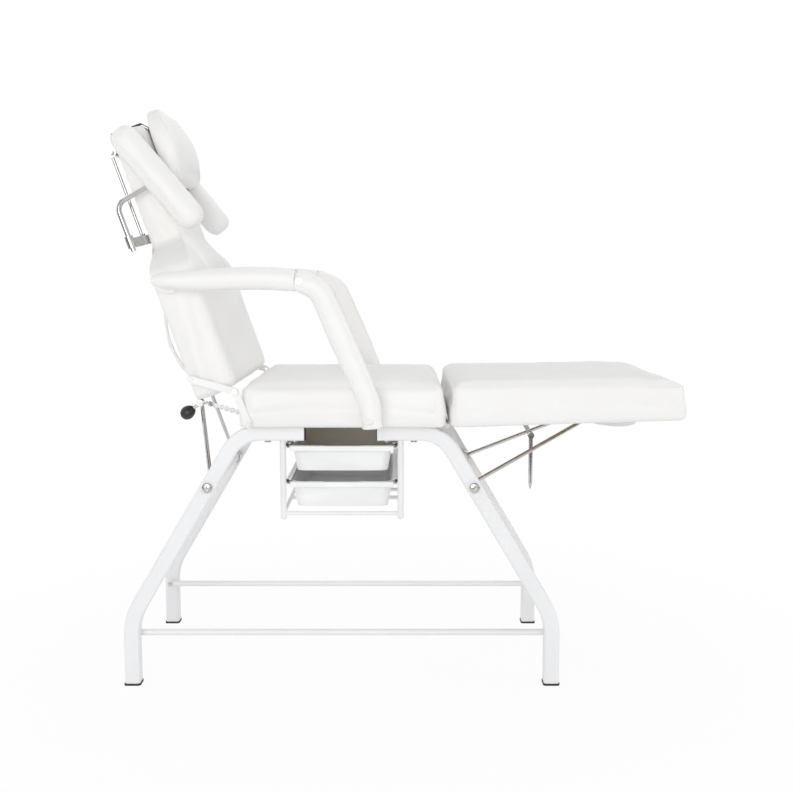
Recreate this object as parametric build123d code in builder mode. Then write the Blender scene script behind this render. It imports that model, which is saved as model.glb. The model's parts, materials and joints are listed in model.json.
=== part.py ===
from build123d import *
from math import atan2, cos, degrees, dist, hypot, radians, sin
import os

os.makedirs("parts", exist_ok=True)

# Adjustable tattoo chair, in millimetres. +X runs to the foot end, +Y to the sitter's left, +Z up.
# The origin is on the floor under the middle of the chair's box.

# Shared small sizes
overrun = 4.0
soft_gap = 0.6
seat_of_rail_gap = 0.3
hinge_fit = 0.05
sheet_gap = 0.4
plate_thickness = 3.0
skin_round = 1.5

# Cushions: overall sizes
cushion_width = 610.0
seat_rear_x = -368.0
seat_length = 497.0
board_underside_z = 652.0
seat_edge_height = 96.0
seat_crown = 16.0
cushion_corner = 9.0
cushion_roll = 14.0
cushion_draw = 6.0
cushion_shoulder = 20.0
cushion_bulge = 4.0
board_thickness = 15.0
board_inset = 12.0
board_corner_radius = 18.0

# Leg rest
leg_rest_gap = 12.0
leg_rest_length = 562.0
leg_rest_tilt = 1.8
leg_rest_edge_height = 98.0
leg_rest_crown = 14.0
leg_rest_toe_rise = 11.0
leg_rest_range = 55.0

# Backrest, measured up the slope from its hinge and out from the plane through the hinge
back_lean = 19.5
back_range = 70.0
back_hinge_depth = 8.0
back_hinge_gap = 3.0
back_thickness = 104.0
back_crown = 14.0
back_shoulder_along = 325.0
head_start_along = 402.0
head_half_width = 149.0
head_thickness = 85.0
head_crown = 5.0
back_top_along = 690.0

# Legs and rails
leg_radius = 19.0
leg_wall = 1.5
leg_corner_radius = 7.0
leg_y = 244.0
frame_middle_x = -124.5
foot_spread = 520.5
rail_corner_spread = 246.0
rail_end_spread = 86.0
low_bend_z = 168.0
low_bend_radius = 150.0
top_bend_radius = 92.0
foot_cap_height = 5.0
foot_plug_depth = 26.0
rail_plug_depth = 18.0
rail_plug_lip = 2.5

# Stretchers and cross tubes
stretcher_radius = 8.0
stretcher_z = 122.0
stretcher_end_radius = 9.5
cross_tube_radius = 12.5
cross_tube_wall = 2.0
cross_tube_z = 499.0
cross_plug_length = 24.0
cross_bolt_radius = 5.0
cross_bolt_head_radius = 12.0
cross_bolt_head_height = 5.5
cross_recess_width = 3.2
cross_recess_length = 14.0
cross_recess_depth = 2.5
small_screw_radius = 3.0
small_screw_head_radius = 6.0
small_screw_head_height = 3.2
small_screw_bite = 12.0
rail_bolt_radius = 4.0
rail_bolt_head_radius = 8.0
rail_bolt_head_height = 4.5
rail_bolt_places = (26.0, 92.0)

# Back strut, guide plate, ratchet rack and release lever
strut_rod_radius = 5.0
strut_bend_radius = 22.0
strut_collar_radius = 17.0
strut_collar_length = 32.0
strut_collar_y = 203.0
back_strut_length = 247.0
back_strut_lean = 12.5
back_strut_ratio = 0.65
back_strut_top_y = 46.0
guide_thickness = 6.0
guide_slack = 2.0
back_window_along = 165.0
back_window_out = -128.0
back_window_radius = 10.0
guide_rim = 9.0
guide_flange_thickness = 4.0
guide_flange_half_width = 24.0
rack_y = -26.0
rack_thickness = 6.0
rack_height = 12.0
rack_pivot_x = -335.0
rack_pivot_z = 634.0
rack_length = 157.0
rack_lean = 16.5
rack_tooth_pitch = 15.0
rack_tooth_depth = 3.0
rack_pin_radius = 4.0
rack_boss_radius = 9.0
rack_bracket_length = 34.0
rack_bracket_height = 20.0
lever_pivot_share = 0.78
lever_hub_radius = 9.0
lever_hub_width = 10.0
lever_hub_gap = 14.0
lever_pin_radius = 4.0
lever_rod_radius = 4.0
lever_reach = 33.0
lever_drop = 24.0
knob_length = 39.0
knob_radius = 17.0

# Leg strut, its guide, the release catch and the pull rod
leg_strut_top_x = 510.0
leg_strut_top_z = 645.0
leg_strut_top_y = 62.0
leg_strut_ratio = 1.4
leg_guide_slack = 2.6
catch_pivot_along = 187.0
catch_pivot_drop = 15.0
catch_width = 12.0
catch_thickness = 5.0
catch_elbow_along = 214.0
catch_elbow_drop = 34.0
catch_pin_radius = 3.5
catch_ear_radius = 7.0
catch_bracket_length = 34.0
pull_along = 232.0
pull_drop = 70.0
pull_rod_radius = 5.5
pull_rod_length = 144.0
pull_tip_length = 16.0
pull_tip_radius = 2.0
pull_fork_gap = 0.8
pull_ear_radius = 8.5
pull_ear_half_width = 6.5
pull_pin_radius = 2.5
pull_pin_past = 1.0
stud_radius = 9.0
stud_height = 5.0
stud_y = 245.0
stud_places = (168.0, 256.0, 462.0)

# Drawer frame and drawers
drawer_post_radius = 7.5
drawer_post_left_x = -266.0
drawer_post_right_x = 21.0
drawer_frame_bottom_z = 424.0
drawer_bar_radius = 5.0
drawer_bar_z = 432.0
drawer_brace_y = 53.0
runner_height = 13.0
runner_depth = 12.0
runner_wall = 1.5
runner_z = (600.0, 510.5)
drawer_height = 64.0
drawer_wall = 2.5
drawer_front_y = -232.0
drawer_depth = 430.0
drawer_corner_radius = 22.0
drawer_taper = 11.0
drawer_lip = 9.0
drawer_lip_thickness = 3.0
drawer_side_gap = 1.0
drawer_pull_width = 90.0
drawer_pull_reach = 10.0

# Hinges
hinge_pin_radius = 4.0
hinge_pin_head_radius = 7.0
hinge_pin_head_height = 2.0
hinge_plate_width = 17.0
hinge_plate_reach = 62.0
hinge_washer = 0.3
spacer_radius = 7.0
leg_hinge_pin_radius = 4.0
leg_hinge_knuckle_radius = 7.5
leg_hinge_y = (120.0, 215.0)
leg_hinge_leaf_length = 44.0
leg_hinge_knuckle_length = 30.0
leg_hinge_side_gap = 0.2
leg_hinge_pin_drop = 8.5

# Arms
arm_y = 346.0
arm_pin_past = 7.0
arm_eye_radius = 14.0
arm_bolt_margin = 10.0
arm_bolt_places = ((3.0, -29.0), (-12.0, -17.0), (-20.0, 1.0))
arm_block_length = 62.0
arm_block_depth = 42.0
arm_block_width = 25.0
arm_block_drop = 16.0
arm_radius = 25.5
arm_pivot_span = 310.0
arm_front_x = -212.0
arm_front_z = 1000.0
arm_cup_gap = 3.6
arm_pin_radius = 6.0
arm_core_width = 18.0
arm_core_thickness = 6.0
post_core_radius = 10.0
post_elbow = (46.0, -18.0)
post_elbow_radius = 62.0
post_knee = (162.0, -285.0)
post_knee_radius = 120.0
post_foot = (167.0, -341.0)
post_bolt_radius = 4.0
post_bolt_head_radius = 7.0
post_bolt_head_height = 3.5
arm_core_past = 23.0
arm_core_stop = 40.0
post_bolt_sink = 1.5
post_bolt_places = ((0.0, 0.0), (162.0, -326.0))
# Distance behind the front pivot, rise, half height and half width of an arm pad's slices
arm_pad_stations = (
    (342.0, 0.5, 7.0, 9.0),
    (339.0, 0.6, 10.0, 13.0),
    (333.0, 0.8, 13.0, 17.5),
    (322.0, 1.0, 16.0, 21.5),
    (306.0, 1.2, 18.0, 24.0),
    (282.0, 1.5, 20.0, 25.5),
    (249.0, 2.0, 23.0, 25.5),
    (205.0, 3.8, 24.8, 25.5),
    (162.0, 5.5, 25.5, 25.5),
    (110.0, 7.0, 25.5, 25.5),
    (70.0, 6.5, 25.5, 25.5),
    (40.0, 4.0, 25.5, 25.5),
    (10.0, 1.0, 25.5, 25.5),
)

# Head end
pillow_half_width = 150.0
pillow_start_along = 528.0
pillow_length = 186.0
pillow_thickness = 57.0
pillow_crown = 9.0
pillow_shoulder = 17.0
pillow_corner = 14.0
pillow_roll = 20.0
pillow_under_roll = 9.0
pillow_travel = 60.0
strap_width = 20.0
strap_thickness = 1.5
strap_y = 119.0
strap_tail = 26.0
bolster_y = 199.0
bolster_half_width = 42.0
bolster_length = 306.0
bolster_thickness = 70.0
bolster_along = 543.0
bolster_out = -14.0
bolster_tilt = 20.5
bolster_plate_length = 150.0
bolster_plate_width = 36.0
bolster_plate_sink = 10.0
bolster_tube_radius = 6.0
bolster_socket_y = 174.0
bolster_socket_out = -137.0
bolster_socket_along = 408.0
bolster_socket_length = 24.0
bolster_socket_radius = 10.0
bolster_stub_below = 8.0
bolster_elbow_along = 520.0
bolster_elbow_radius = 26.0
bolster_collar_height = 6.0
bolster_plate_start = 107.0
bolster_plate_end = 134.0
roll_arm_y = 118.0
roll_wire_radius = 3.5
roll_wire_out = -116.0
roll_pivot_along = 428.0
roll_hook_along = 652.0
roll_hook_radius = 9.5
roll_bar_radius = 5.5
roll_bar_overhang = 16.0
roll_bracket_width = 18.0
roll_bracket_length = 40.0
roll_corner_radius = 12.0
roll_lug_y = 94.0
roll_lug_radius = 8.0

# Places that follow from the sizes above
back_angle = radians(back_lean)
seat_front_x = seat_rear_x + seat_length
back_pivot_x = seat_rear_x - back_hinge_gap
back_pivot_z = board_underside_z + seat_edge_height - back_hinge_depth
rear_out = back_hinge_depth - back_thickness
head_front_out = rear_out + head_thickness
leg_tilt_angle = radians(leg_rest_tilt)
leg_pivot_x = seat_front_x + leg_rest_gap / 2
leg_pivot_z = board_underside_z - leg_hinge_pin_drop
rail_z = board_underside_z - seat_of_rail_gap - leg_radius
splay_slope = (foot_spread - rail_corner_spread) / (rail_z - low_bend_z)
cross_tube_spread = foot_spread - (cross_tube_z - low_bend_z) * splay_slope
head_tube_x = frame_middle_x - cross_tube_spread
foot_tube_x = frame_middle_x + cross_tube_spread
half_width = cushion_width / 2
ends = (-1, 1)
sides = (-1, 1)

up_back = Vector(-sin(back_angle), 0, cos(back_angle))
out_back = Vector(cos(back_angle), 0, sin(back_angle))
back_pivot = Vector(back_pivot_x, 0, back_pivot_z)
along_leg = Vector(cos(leg_tilt_angle), 0, sin(leg_tilt_angle))
up_leg = Vector(-sin(leg_tilt_angle), 0, cos(leg_tilt_angle))
leg_pivot = Vector(leg_pivot_x, 0, leg_pivot_z)

# Side planes: local x and y are length and height of the part that they belong to
back_side = Plane(origin=back_pivot, x_dir=up_back, z_dir=(0, 1, 0))
leg_side = Plane(origin=leg_pivot, x_dir=along_leg, z_dir=(0, -1, 0))


def save(piece, name):
    """Label a finished piece and write its file."""
    piece.label = name
    export_step(piece, f"parts/{name}.step")


def at_y(plane, y):
    """The same side plane, moved across the chair."""
    return Plane(origin=plane.origin + Vector(0, y, 0), x_dir=plane.x_dir, z_dir=plane.z_dir)


def across(x, z, y):
    """A plane square to the Y axis with its origin at one point."""
    return Plane(origin=(x, y, z), x_dir=(1, 0, 0), z_dir=(0, 1, 0))


def back_point(along, out, y=0.0):
    """A point given up the backrest's slope and out from its hinge plane."""
    return back_pivot + up_back * along + out_back * out + Vector(0, y, 0)


def leg_point(along, height, y=0.0):
    """A point given along the leg rest and square to its underside."""
    return leg_pivot + along_leg * along + up_leg * height + Vector(0, y, 0)


def slice_plane(base, along):
    """The plane of one slice through a soft form, square to the base's x direction."""
    return Plane(origin=base.origin + base.x_dir * along, x_dir=base.y_dir, z_dir=base.x_dir)


def cushion_slice(plane, half, edge, crown, low=0.0, shoulder=cushion_shoulder, bulge=cushion_bulge):
    """One slice through a cushion: flat base, full sides, round shoulders and a crowned top."""
    side_top = edge - shoulder
    inner = half - shoulder
    nook = shoulder * (1 - cos(radians(45)))
    rise = shoulder * sin(radians(45))
    with BuildSketch(plane) as section:
        with BuildLine():
            Line((-half, low), (half, low))
            ThreePointArc((half, low), (half + bulge, (low + side_top) / 2), (half, side_top))
            ThreePointArc((half, side_top), (half - nook, side_top + rise), (inner, edge))
            ThreePointArc((inner, edge), (0, edge + crown), (-inner, edge))
            ThreePointArc((-inner, edge), (-half + nook, side_top + rise), (-half, side_top))
            ThreePointArc((-half, side_top), (-half - bulge, (low + side_top) / 2), (-half, low))
        make_face()
    return section.sketch


def oval_slice(plane, half_across, half_up, middle=0.0):
    """One oval slice through a soft roll, made of four arcs."""
    diagonal = cos(radians(45))
    places = [
        (half_across, middle),
        (half_across * diagonal, middle + half_up * diagonal),
        (0, middle + half_up),
        (-half_across * diagonal, middle + half_up * diagonal),
        (-half_across, middle),
        (-half_across * diagonal, middle - half_up * diagonal),
        (0, middle - half_up),
        (half_across * diagonal, middle - half_up * diagonal),
        (half_across, middle),
    ]
    with BuildSketch(plane) as section:
        with BuildLine():
            for start in (0, 2, 4, 6):
                ThreePointArc(places[start], places[start + 1], places[start + 2])
        make_face()
    return section.sketch


def lofted(sections, ruled=False):
    """A solid through slices in order."""
    with BuildPart() as form:
        loft(sections=sections, ruled=ruled)
    return form.part


def straight_rod(start, end, radius):
    """A round rod between two points."""
    run = Vector(end) - Vector(start)
    with BuildPart() as rod:
        with BuildSketch(Plane(origin=start, z_dir=run)):
            Circle(radius)
        extrude(amount=run.length)
    return rod.part


def bent_rod(points, radius, bends, bore=0.0, corner=0.0):
    """A rod or tube that follows points, with a bend radius for each corner; a corner makes it square."""
    with BuildPart() as rod:
        with BuildLine() as path:
            FilletPolyline(*points, radius=bends)
        with BuildSketch(Plane(origin=path.line @ 0, z_dir=path.line % 0)):
            if corner:
                RectangleRounded(2 * radius, 2 * radius, corner)
                RectangleRounded(2 * bore, 2 * bore, corner - radius + bore, mode=Mode.SUBTRACT)
            else:
                Circle(radius)
                if bore:
                    Circle(bore, mode=Mode.SUBTRACT)
        sweep(path=path.line)
    return rod.part


def y_rod(x, z, y_start, y_end, radius):
    """A round rod across the chair."""
    return straight_rod((x, y_start, z), (x, y_end, z), radius)


# Along, corner, draw and crown shares of the slices through a cushion
cushion_slice_shares = (
    (0.0, 1.0, 0.0, 0.12),
    (0.008, 0.6, 0.0, 0.22),
    (0.024, 0.25, 0.05, 0.36),
    (0.055, 0.05, 0.15, 0.54),
    (0.12, 0.0, 0.4, 0.75),
    (0.28, 0.0, 0.8, 0.94),
    (0.5, 0.0, 1.0, 1.0),
    (0.72, 0.0, 0.8, 0.94),
    (0.88, 0.0, 0.4, 0.75),
    (0.945, 0.05, 0.15, 0.54),
    (0.976, 0.25, 0.05, 0.36),
    (0.992, 0.6, 0.0, 0.22),
    (1.0, 1.0, 0.0, 0.12),
)


def cushion_form(base, length, edge, crown, toe_rise=0.0):
    """A whole cushion: crowned, drawn in between its corners, rolled over at both ends."""
    slices = []
    for along_share, corner_share, draw_share, crown_share in cushion_slice_shares:
        rise = toe_rise * corner_share if along_share > 0.5 else 0.0
        slices.append(
            cushion_slice(
                slice_plane(base, length * along_share),
                half_width - cushion_corner * corner_share - cushion_draw * draw_share,
                edge - cushion_roll * corner_share,
                crown * crown_share,
                low=rise,
            )
        )
    return lofted(slices, ruled=True)


def board_outline_part(base, start, length, width):
    """A rectangular plywood board with round corners, lying on a base plane."""
    middle = base.origin + base.x_dir * (start + length / 2)
    with BuildPart() as board:
        with BuildSketch(Plane(origin=middle, x_dir=base.x_dir, z_dir=base.z_dir)):
            RectangleRounded(length, width, board_corner_radius)
        extrude(amount=board_thickness)
    return board.part


# Legs: four bent tubes, each a foot, a slope and a stub of rail under the seat
def leg_path(end, side):
    """The middle line of one leg, from its foot to the end of its rail."""
    return (
        (frame_middle_x + end * foot_spread, side * leg_y, foot_cap_height),
        (frame_middle_x + end * foot_spread, side * leg_y, low_bend_z),
        (frame_middle_x + end * rail_corner_spread, side * leg_y, rail_z),
        (frame_middle_x + end * (rail_end_spread + rail_plug_lip), side * leg_y, rail_z),
    )


side_names = {-1: "right", 1: "left"}
end_names = {-1: "head", 1: "foot"}
inner_leg_y = leg_y - leg_radius
outer_leg_y = leg_y + leg_radius
tube_inside = 2 * (leg_radius - leg_wall)
foot_cap_width = 2 * (leg_radius + skin_round)

for end in ends:
    for side in sides:
        tube = bent_rod(
            leg_path(end, side),
            leg_radius,
            [low_bend_radius, top_bend_radius],
            leg_radius - leg_wall,
            leg_corner_radius,
        )
        tube_x = frame_middle_x + end * cross_tube_spread
        with BuildPart() as leg:
            add(tube)
            with BuildSketch(across(tube_x, cross_tube_z, side * leg_y)):
                Circle(cross_bolt_radius + hinge_fit)
            extrude(amount=leg_radius + overrun, both=True, mode=Mode.SUBTRACT)
            with BuildSketch(across(frame_middle_x + end * foot_spread, stretcher_z, side * leg_y)):
                Circle(small_screw_radius)
            extrude(amount=-side * (leg_radius + overrun), mode=Mode.SUBTRACT)
            for place in rail_bolt_places:
                bolt_x = frame_middle_x + end * (rail_end_spread + place)
                with BuildSketch(Plane(origin=(bolt_x, side * leg_y, rail_z), z_dir=(0, 0, 1))):
                    Circle(rail_bolt_radius + hinge_fit)
                extrude(amount=leg_radius + overrun, both=True, mode=Mode.SUBTRACT)
        save(leg.part, f"{end_names[end]}_leg_{side_names[side]}")

# Rubber caps: a disc under each foot with a plug up the tube
with BuildPart() as foot_caps:
    for end in ends:
        for side in sides:
            foot = (frame_middle_x + end * foot_spread, side * leg_y, 0)
            with BuildSketch(Plane(origin=foot, z_dir=(0, 0, 1))):
                RectangleRounded(foot_cap_width, foot_cap_width, leg_corner_radius)
            extrude(amount=foot_cap_height)
            with BuildSketch(Plane(origin=foot, z_dir=(0, 0, 1)).offset(foot_cap_height)):
                RectangleRounded(tube_inside, tube_inside, leg_corner_radius - leg_wall)
            extrude(amount=foot_plug_depth)
save(foot_caps.part, "foot_caps")

# Plastic plugs in the open ends of the rails
with BuildPart() as rail_caps:
    for end in ends:
        for side in sides:
            face = Plane(
                origin=(frame_middle_x + end * rail_end_spread, side * leg_y, rail_z), z_dir=(end, 0, 0)
            )
            with BuildSketch(face):
                RectangleRounded(2 * leg_radius, 2 * leg_radius, leg_corner_radius)
            extrude(amount=rail_plug_lip)
            with BuildSketch(face.offset(rail_plug_lip)):
                RectangleRounded(tube_inside, tube_inside, leg_corner_radius - leg_wall)
            extrude(amount=rail_plug_depth)
save(rail_caps.part, "rail_end_caps")

# Stretchers: straight tubes along the inner faces of the legs, near the floor
stretcher_y = inner_leg_y - stretcher_radius
stretchers = []
for side in sides:
    start_x = frame_middle_x - foot_spread
    end_x = frame_middle_x + foot_spread
    with BuildPart() as stretcher:
        with BuildSketch(Plane(origin=(start_x, side * stretcher_y, stretcher_z), z_dir=(1, 0, 0))):
            Circle(stretcher_radius)
        extrude(amount=end_x - start_x)
        for x in (start_x, end_x):
            with BuildSketch(across(x, stretcher_z, side * stretcher_y)):
                Circle(stretcher_end_radius)
            extrude(amount=stretcher_radius, both=True)
        for x in (start_x, end_x):
            with BuildSketch(across(x, stretcher_z, side * stretcher_y)):
                Circle(small_screw_radius)
            extrude(amount=stretcher_radius + overrun, both=True, mode=Mode.SUBTRACT)
    stretchers.append(stretcher.part)
with BuildPart() as stretcher_pair:
    for piece in stretchers:
        add(piece)
save(stretcher_pair.part, "stretchers")

# Screws that hold the stretchers, driven outwards into the legs
with BuildPart() as stretcher_screws:
    for end in ends:
        for side in sides:
            seat_y = side * (stretcher_y - stretcher_radius)
            screw = across(frame_middle_x + end * foot_spread, stretcher_z, seat_y)
            with BuildSketch(screw):
                Circle(small_screw_radius)
            extrude(amount=side * (2 * stretcher_radius + leg_radius))
            with BuildSketch(screw):
                Circle(small_screw_head_radius)
            extrude(amount=-side * small_screw_head_height)

# Cross tubes: each joins two legs and carries the collars of a strut
cross_tube_xs = {"head": head_tube_x, "foot": foot_tube_x}
for name, x in cross_tube_xs.items():
    with BuildPart() as cross_tube:
        with BuildSketch(across(x, cross_tube_z, 0)):
            Circle(cross_tube_radius)
        extrude(amount=inner_leg_y, both=True)
        with BuildSketch(across(x, cross_tube_z, 0)):
            Circle(cross_tube_radius - cross_tube_wall)
        extrude(amount=inner_leg_y - cross_plug_length, both=True, mode=Mode.SUBTRACT)
        with BuildSketch(across(x, cross_tube_z, 0)):
            Circle(cross_bolt_radius + hinge_fit)
        extrude(amount=inner_leg_y + overrun, both=True, mode=Mode.SUBTRACT)
    save(cross_tube.part, f"cross_tube_{name}")

# Large cross-recessed bolts through the legs into the cross tubes
with BuildPart() as cross_bolts:
    for x in cross_tube_xs.values():
        for side in sides:
            head = across(x, cross_tube_z, side * outer_leg_y)
            with BuildSketch(head):
                Circle(cross_bolt_radius)
            extrude(amount=-side * (2 * leg_radius + cross_plug_length))
            with BuildSketch(head):
                Circle(cross_bolt_head_radius)
            extrude(amount=side * cross_bolt_head_height)
            with BuildSketch(head.offset(side * (cross_bolt_head_height - cross_recess_depth))):
                Rectangle(cross_recess_length, cross_recess_width)
                Rectangle(cross_recess_width, cross_recess_length)
            extrude(amount=side * (cross_recess_depth + overrun), mode=Mode.SUBTRACT)
save(cross_bolts.part, "cross_bolts")

# Side plates: straps that lie on the cushions' sides, each with a spacer in to its board
side_plate_y = half_width + cushion_bulge + soft_gap
moving_plate_y = side_plate_y + plate_thickness + hinge_washer
plate_half = hinge_plate_width / 2
board_edge_y = half_width - board_inset - cushion_draw


def side_strap(side, inner_y, foot, eye, eye_radius):
    """A flat strap between two (x, z) places, with a spacer from its foot in to the board."""
    with BuildPart() as strap:
        with BuildSketch(across(0, 0, side * inner_y)):
            with Locations((eye[0], -eye[1]), (foot[0], -foot[1])):
                Circle(plate_half)
            make_hull()
        extrude(amount=side * plate_thickness)
        with BuildSketch(across(foot[0], foot[1], side * inner_y)):
            Circle(spacer_radius)
        extrude(amount=-side * (inner_y - board_edge_y))
        with BuildSketch(across(foot[0], foot[1], side * board_edge_y)):
            Circle(small_screw_radius)
        extrude(amount=side * (inner_y - board_edge_y + plate_thickness), mode=Mode.SUBTRACT)
        with BuildSketch(across(eye[0], eye[1], side * inner_y)):
            Circle(eye_radius)
        extrude(amount=side * plate_thickness, mode=Mode.SUBTRACT)
    return strap.part


def side_screw(side, inner_y, foot):
    """The screw through a strap's foot into the edge of a board."""
    outer = across(foot[0], foot[1], side * (inner_y + plate_thickness))
    with BuildPart() as screw:
        with BuildSketch(outer):
            Circle(small_screw_radius)
        extrude(amount=-side * (inner_y + plate_thickness - board_edge_y + small_screw_bite))
        with BuildSketch(outer):
            Circle(small_screw_head_radius)
        extrude(amount=side * small_screw_head_height)
    return screw.part


def drilled(board, screws):
    """A board with its screws' holes cut."""
    with BuildPart() as cut:
        add(board)
        for screw in screws:
            add(screw, mode=Mode.SUBTRACT)
    return cut.part


back_eye = (back_pivot_x, back_pivot_z)
seat_foot = (seat_rear_x + board_inset + hinge_plate_width, board_underside_z + board_thickness / 2)
back_foot_point = back_point(hinge_plate_reach, rear_out + board_thickness / 2)
back_foot = (back_foot_point.X, back_foot_point.Z)
post_eye = (back_pivot_x + arm_pivot_span, back_pivot_z)
post_foot_place = (post_eye[0], board_underside_z + board_thickness / 2)
seat_straps = []
seat_screws = []
back_straps = []
back_screws = []
post_straps = []
for side in sides:
    seat_straps.append(side_strap(side, side_plate_y, seat_foot, back_eye, hinge_pin_radius))
    seat_screws.append(side_screw(side, side_plate_y, seat_foot))
    post_straps.append(side_strap(side, side_plate_y, post_foot_place, post_eye, arm_pin_radius))
    seat_screws.append(side_screw(side, side_plate_y, post_foot_place))
    back_straps.append(side_strap(side, moving_plate_y, back_foot, back_eye, hinge_pin_radius + hinge_fit))
    back_screws.append(side_screw(side, moving_plate_y, back_foot))

with BuildPart() as seat_side_plates:
    for strap in seat_straps + post_straps:
        add(strap)
save(seat_side_plates.part, "seat_side_plates")

# Pivot pins fixed in the seat's plates: the backrest's hinge pins and the arm posts' pins
with BuildPart() as seat_pivot_pins:
    for side in sides:
        pin_reach = moving_plate_y + plate_thickness + hinge_washer
        with BuildSketch(across(back_pivot_x, back_pivot_z, side * side_plate_y)):
            Circle(hinge_pin_radius)
        extrude(amount=side * (pin_reach - side_plate_y))
        with BuildSketch(across(back_pivot_x, back_pivot_z, side * pin_reach)):
            Circle(hinge_pin_head_radius)
        extrude(amount=side * hinge_pin_head_height)
        with BuildSketch(across(post_eye[0], post_eye[1], side * side_plate_y)):
            Circle(arm_pin_radius)
        extrude(amount=side * (arm_y + arm_pin_past - side_plate_y))
save(seat_pivot_pins.part, "seat_pivot_pins")

# Seat: crowned cushion with its leather turned in round a plywood board
seat_base = Plane(origin=(seat_rear_x, 0, board_underside_z), x_dir=(1, 0, 0), z_dir=(0, 0, 1))
seat_board_solid = board_outline_part(
    seat_base, board_inset, seat_length - 2 * board_inset, cushion_width - 2 * board_inset - 2 * cushion_draw
)
with BuildPart() as seat_board:
    add(seat_board_solid)
    for screw in seat_screws:
        add(screw, mode=Mode.SUBTRACT)
    for end in ends:
        for side in sides:
            for place in rail_bolt_places:
                bolt_x = frame_middle_x + end * (rail_end_spread + place)
                with BuildSketch(Plane(origin=(bolt_x, side * leg_y, board_underside_z), z_dir=(0, 0, 1))):
                    Circle(rail_bolt_radius)
                extrude(amount=board_thickness, mode=Mode.SUBTRACT)
save(seat_board.part, "seat_board")

seat_form = cushion_form(seat_base, seat_length, seat_edge_height, seat_crown)
with BuildPart() as seat_cushion:
    add(seat_form)
    add(seat_board_solid, mode=Mode.SUBTRACT)
    for piece in seat_straps + post_straps + seat_screws:
        add(piece, mode=Mode.SUBTRACT)
save(seat_cushion.part, "seat_cushion")

# Bolts up through the rails into the seat board
with BuildPart() as rail_bolts:
    for end in ends:
        for side in sides:
            for place in rail_bolt_places:
                bolt_x = frame_middle_x + end * (rail_end_spread + place)
                under = Plane(origin=(bolt_x, side * leg_y, rail_z - leg_radius), z_dir=(0, 0, 1))
                with BuildSketch(under):
                    Circle(rail_bolt_radius)
                extrude(amount=2 * leg_radius + seat_of_rail_gap + board_thickness)
                with BuildSketch(under):
                    Circle(rail_bolt_head_radius)
                extrude(amount=-rail_bolt_head_height)
with BuildPart() as frame_screws:
    add(stretcher_screws.part)
    add(rail_bolts.part)
    for screw in seat_screws:
        add(screw)
save(frame_screws.part, "frame_screws")

# Backrest board: wide at the seat, with a narrow head part
back_base = Plane(origin=back_point(0, rear_out), x_dir=up_back, z_dir=out_back)
board_half = half_width - board_inset - cushion_draw
board_head_half = head_half_width - board_inset
with BuildPart() as back_board_blank:
    with BuildSketch(back_base) as back_board_outline:
        with BuildLine():
            Polyline(
                (back_hinge_gap + board_inset, -board_half),
                (back_shoulder_along - board_inset, -board_half),
                (head_start_along, -board_head_half),
                (back_top_along - board_inset, -board_head_half),
                (back_top_along - board_inset, board_head_half),
                (head_start_along, board_head_half),
                (back_shoulder_along - board_inset, board_half),
                (back_hinge_gap + board_inset, board_half),
                close=True,
            )
        make_face()
        fillet(back_board_outline.vertices(), board_corner_radius)
    extrude(amount=board_thickness)
back_board_solid = back_board_blank.part

# Arm brackets on the backrest's sides: a plate, a wooden block behind it, three bolts and a pin
arm_rear_x = arm_front_x - arm_pivot_span


def in_back_frame(x, z):
    """An (x, z) place as length up the backrest and distance out from its hinge plane."""
    offset = Vector(x, 0, z) - back_pivot
    return offset.dot(up_back), offset.dot(out_back)


arm_eye_along, arm_eye_out = in_back_frame(arm_rear_x, arm_front_z)
side_blocks = []
arm_straps = []
arm_screws = []
for side in sides:
    with BuildPart() as side_block:
        with BuildSketch(at_y(back_side, side * board_edge_y)):
            block_out = rear_out + board_thickness + arm_block_depth / 2
            with Locations((arm_eye_along - arm_block_drop, block_out)):
                Rectangle(arm_block_length, arm_block_depth)
        extrude(amount=-side * arm_block_width)
    side_blocks.append(side_block.part)
    with BuildPart() as arm_strap:
        with BuildSketch(at_y(back_side, side * side_plate_y)):
            with Locations((arm_eye_along, arm_eye_out)):
                Circle(arm_eye_radius)
            for place in arm_bolt_places:
                with Locations((arm_eye_along + place[0], arm_eye_out + place[1])):
                    Circle(arm_bolt_margin)
            make_hull()
            with Locations((arm_eye_along, arm_eye_out)):
                Circle(arm_pin_radius, mode=Mode.SUBTRACT)
        extrude(amount=side * plate_thickness)
        for place in arm_bolt_places:
            with BuildSketch(at_y(back_side, side * side_plate_y)):
                with Locations((arm_eye_along + place[0], arm_eye_out + place[1])):
                    Circle(small_screw_radius)
            extrude(amount=side * plate_thickness, mode=Mode.SUBTRACT)
    arm_straps.append(arm_strap.part)
    with BuildPart() as arm_screw:
        for place in arm_bolt_places:
            with BuildSketch(at_y(back_side, side * (side_plate_y + plate_thickness))):
                with Locations((arm_eye_along + place[0], arm_eye_out + place[1])):
                    Circle(small_screw_radius)
            extrude(amount=-side * (side_plate_y + plate_thickness - board_edge_y + small_screw_bite))
            with BuildSketch(at_y(back_side, side * (side_plate_y + plate_thickness))):
                with Locations((arm_eye_along + place[0], arm_eye_out + place[1])):
                    Circle(small_screw_head_radius)
            extrude(amount=side * small_screw_head_height)
    arm_screws.append(arm_screw.part)

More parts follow.
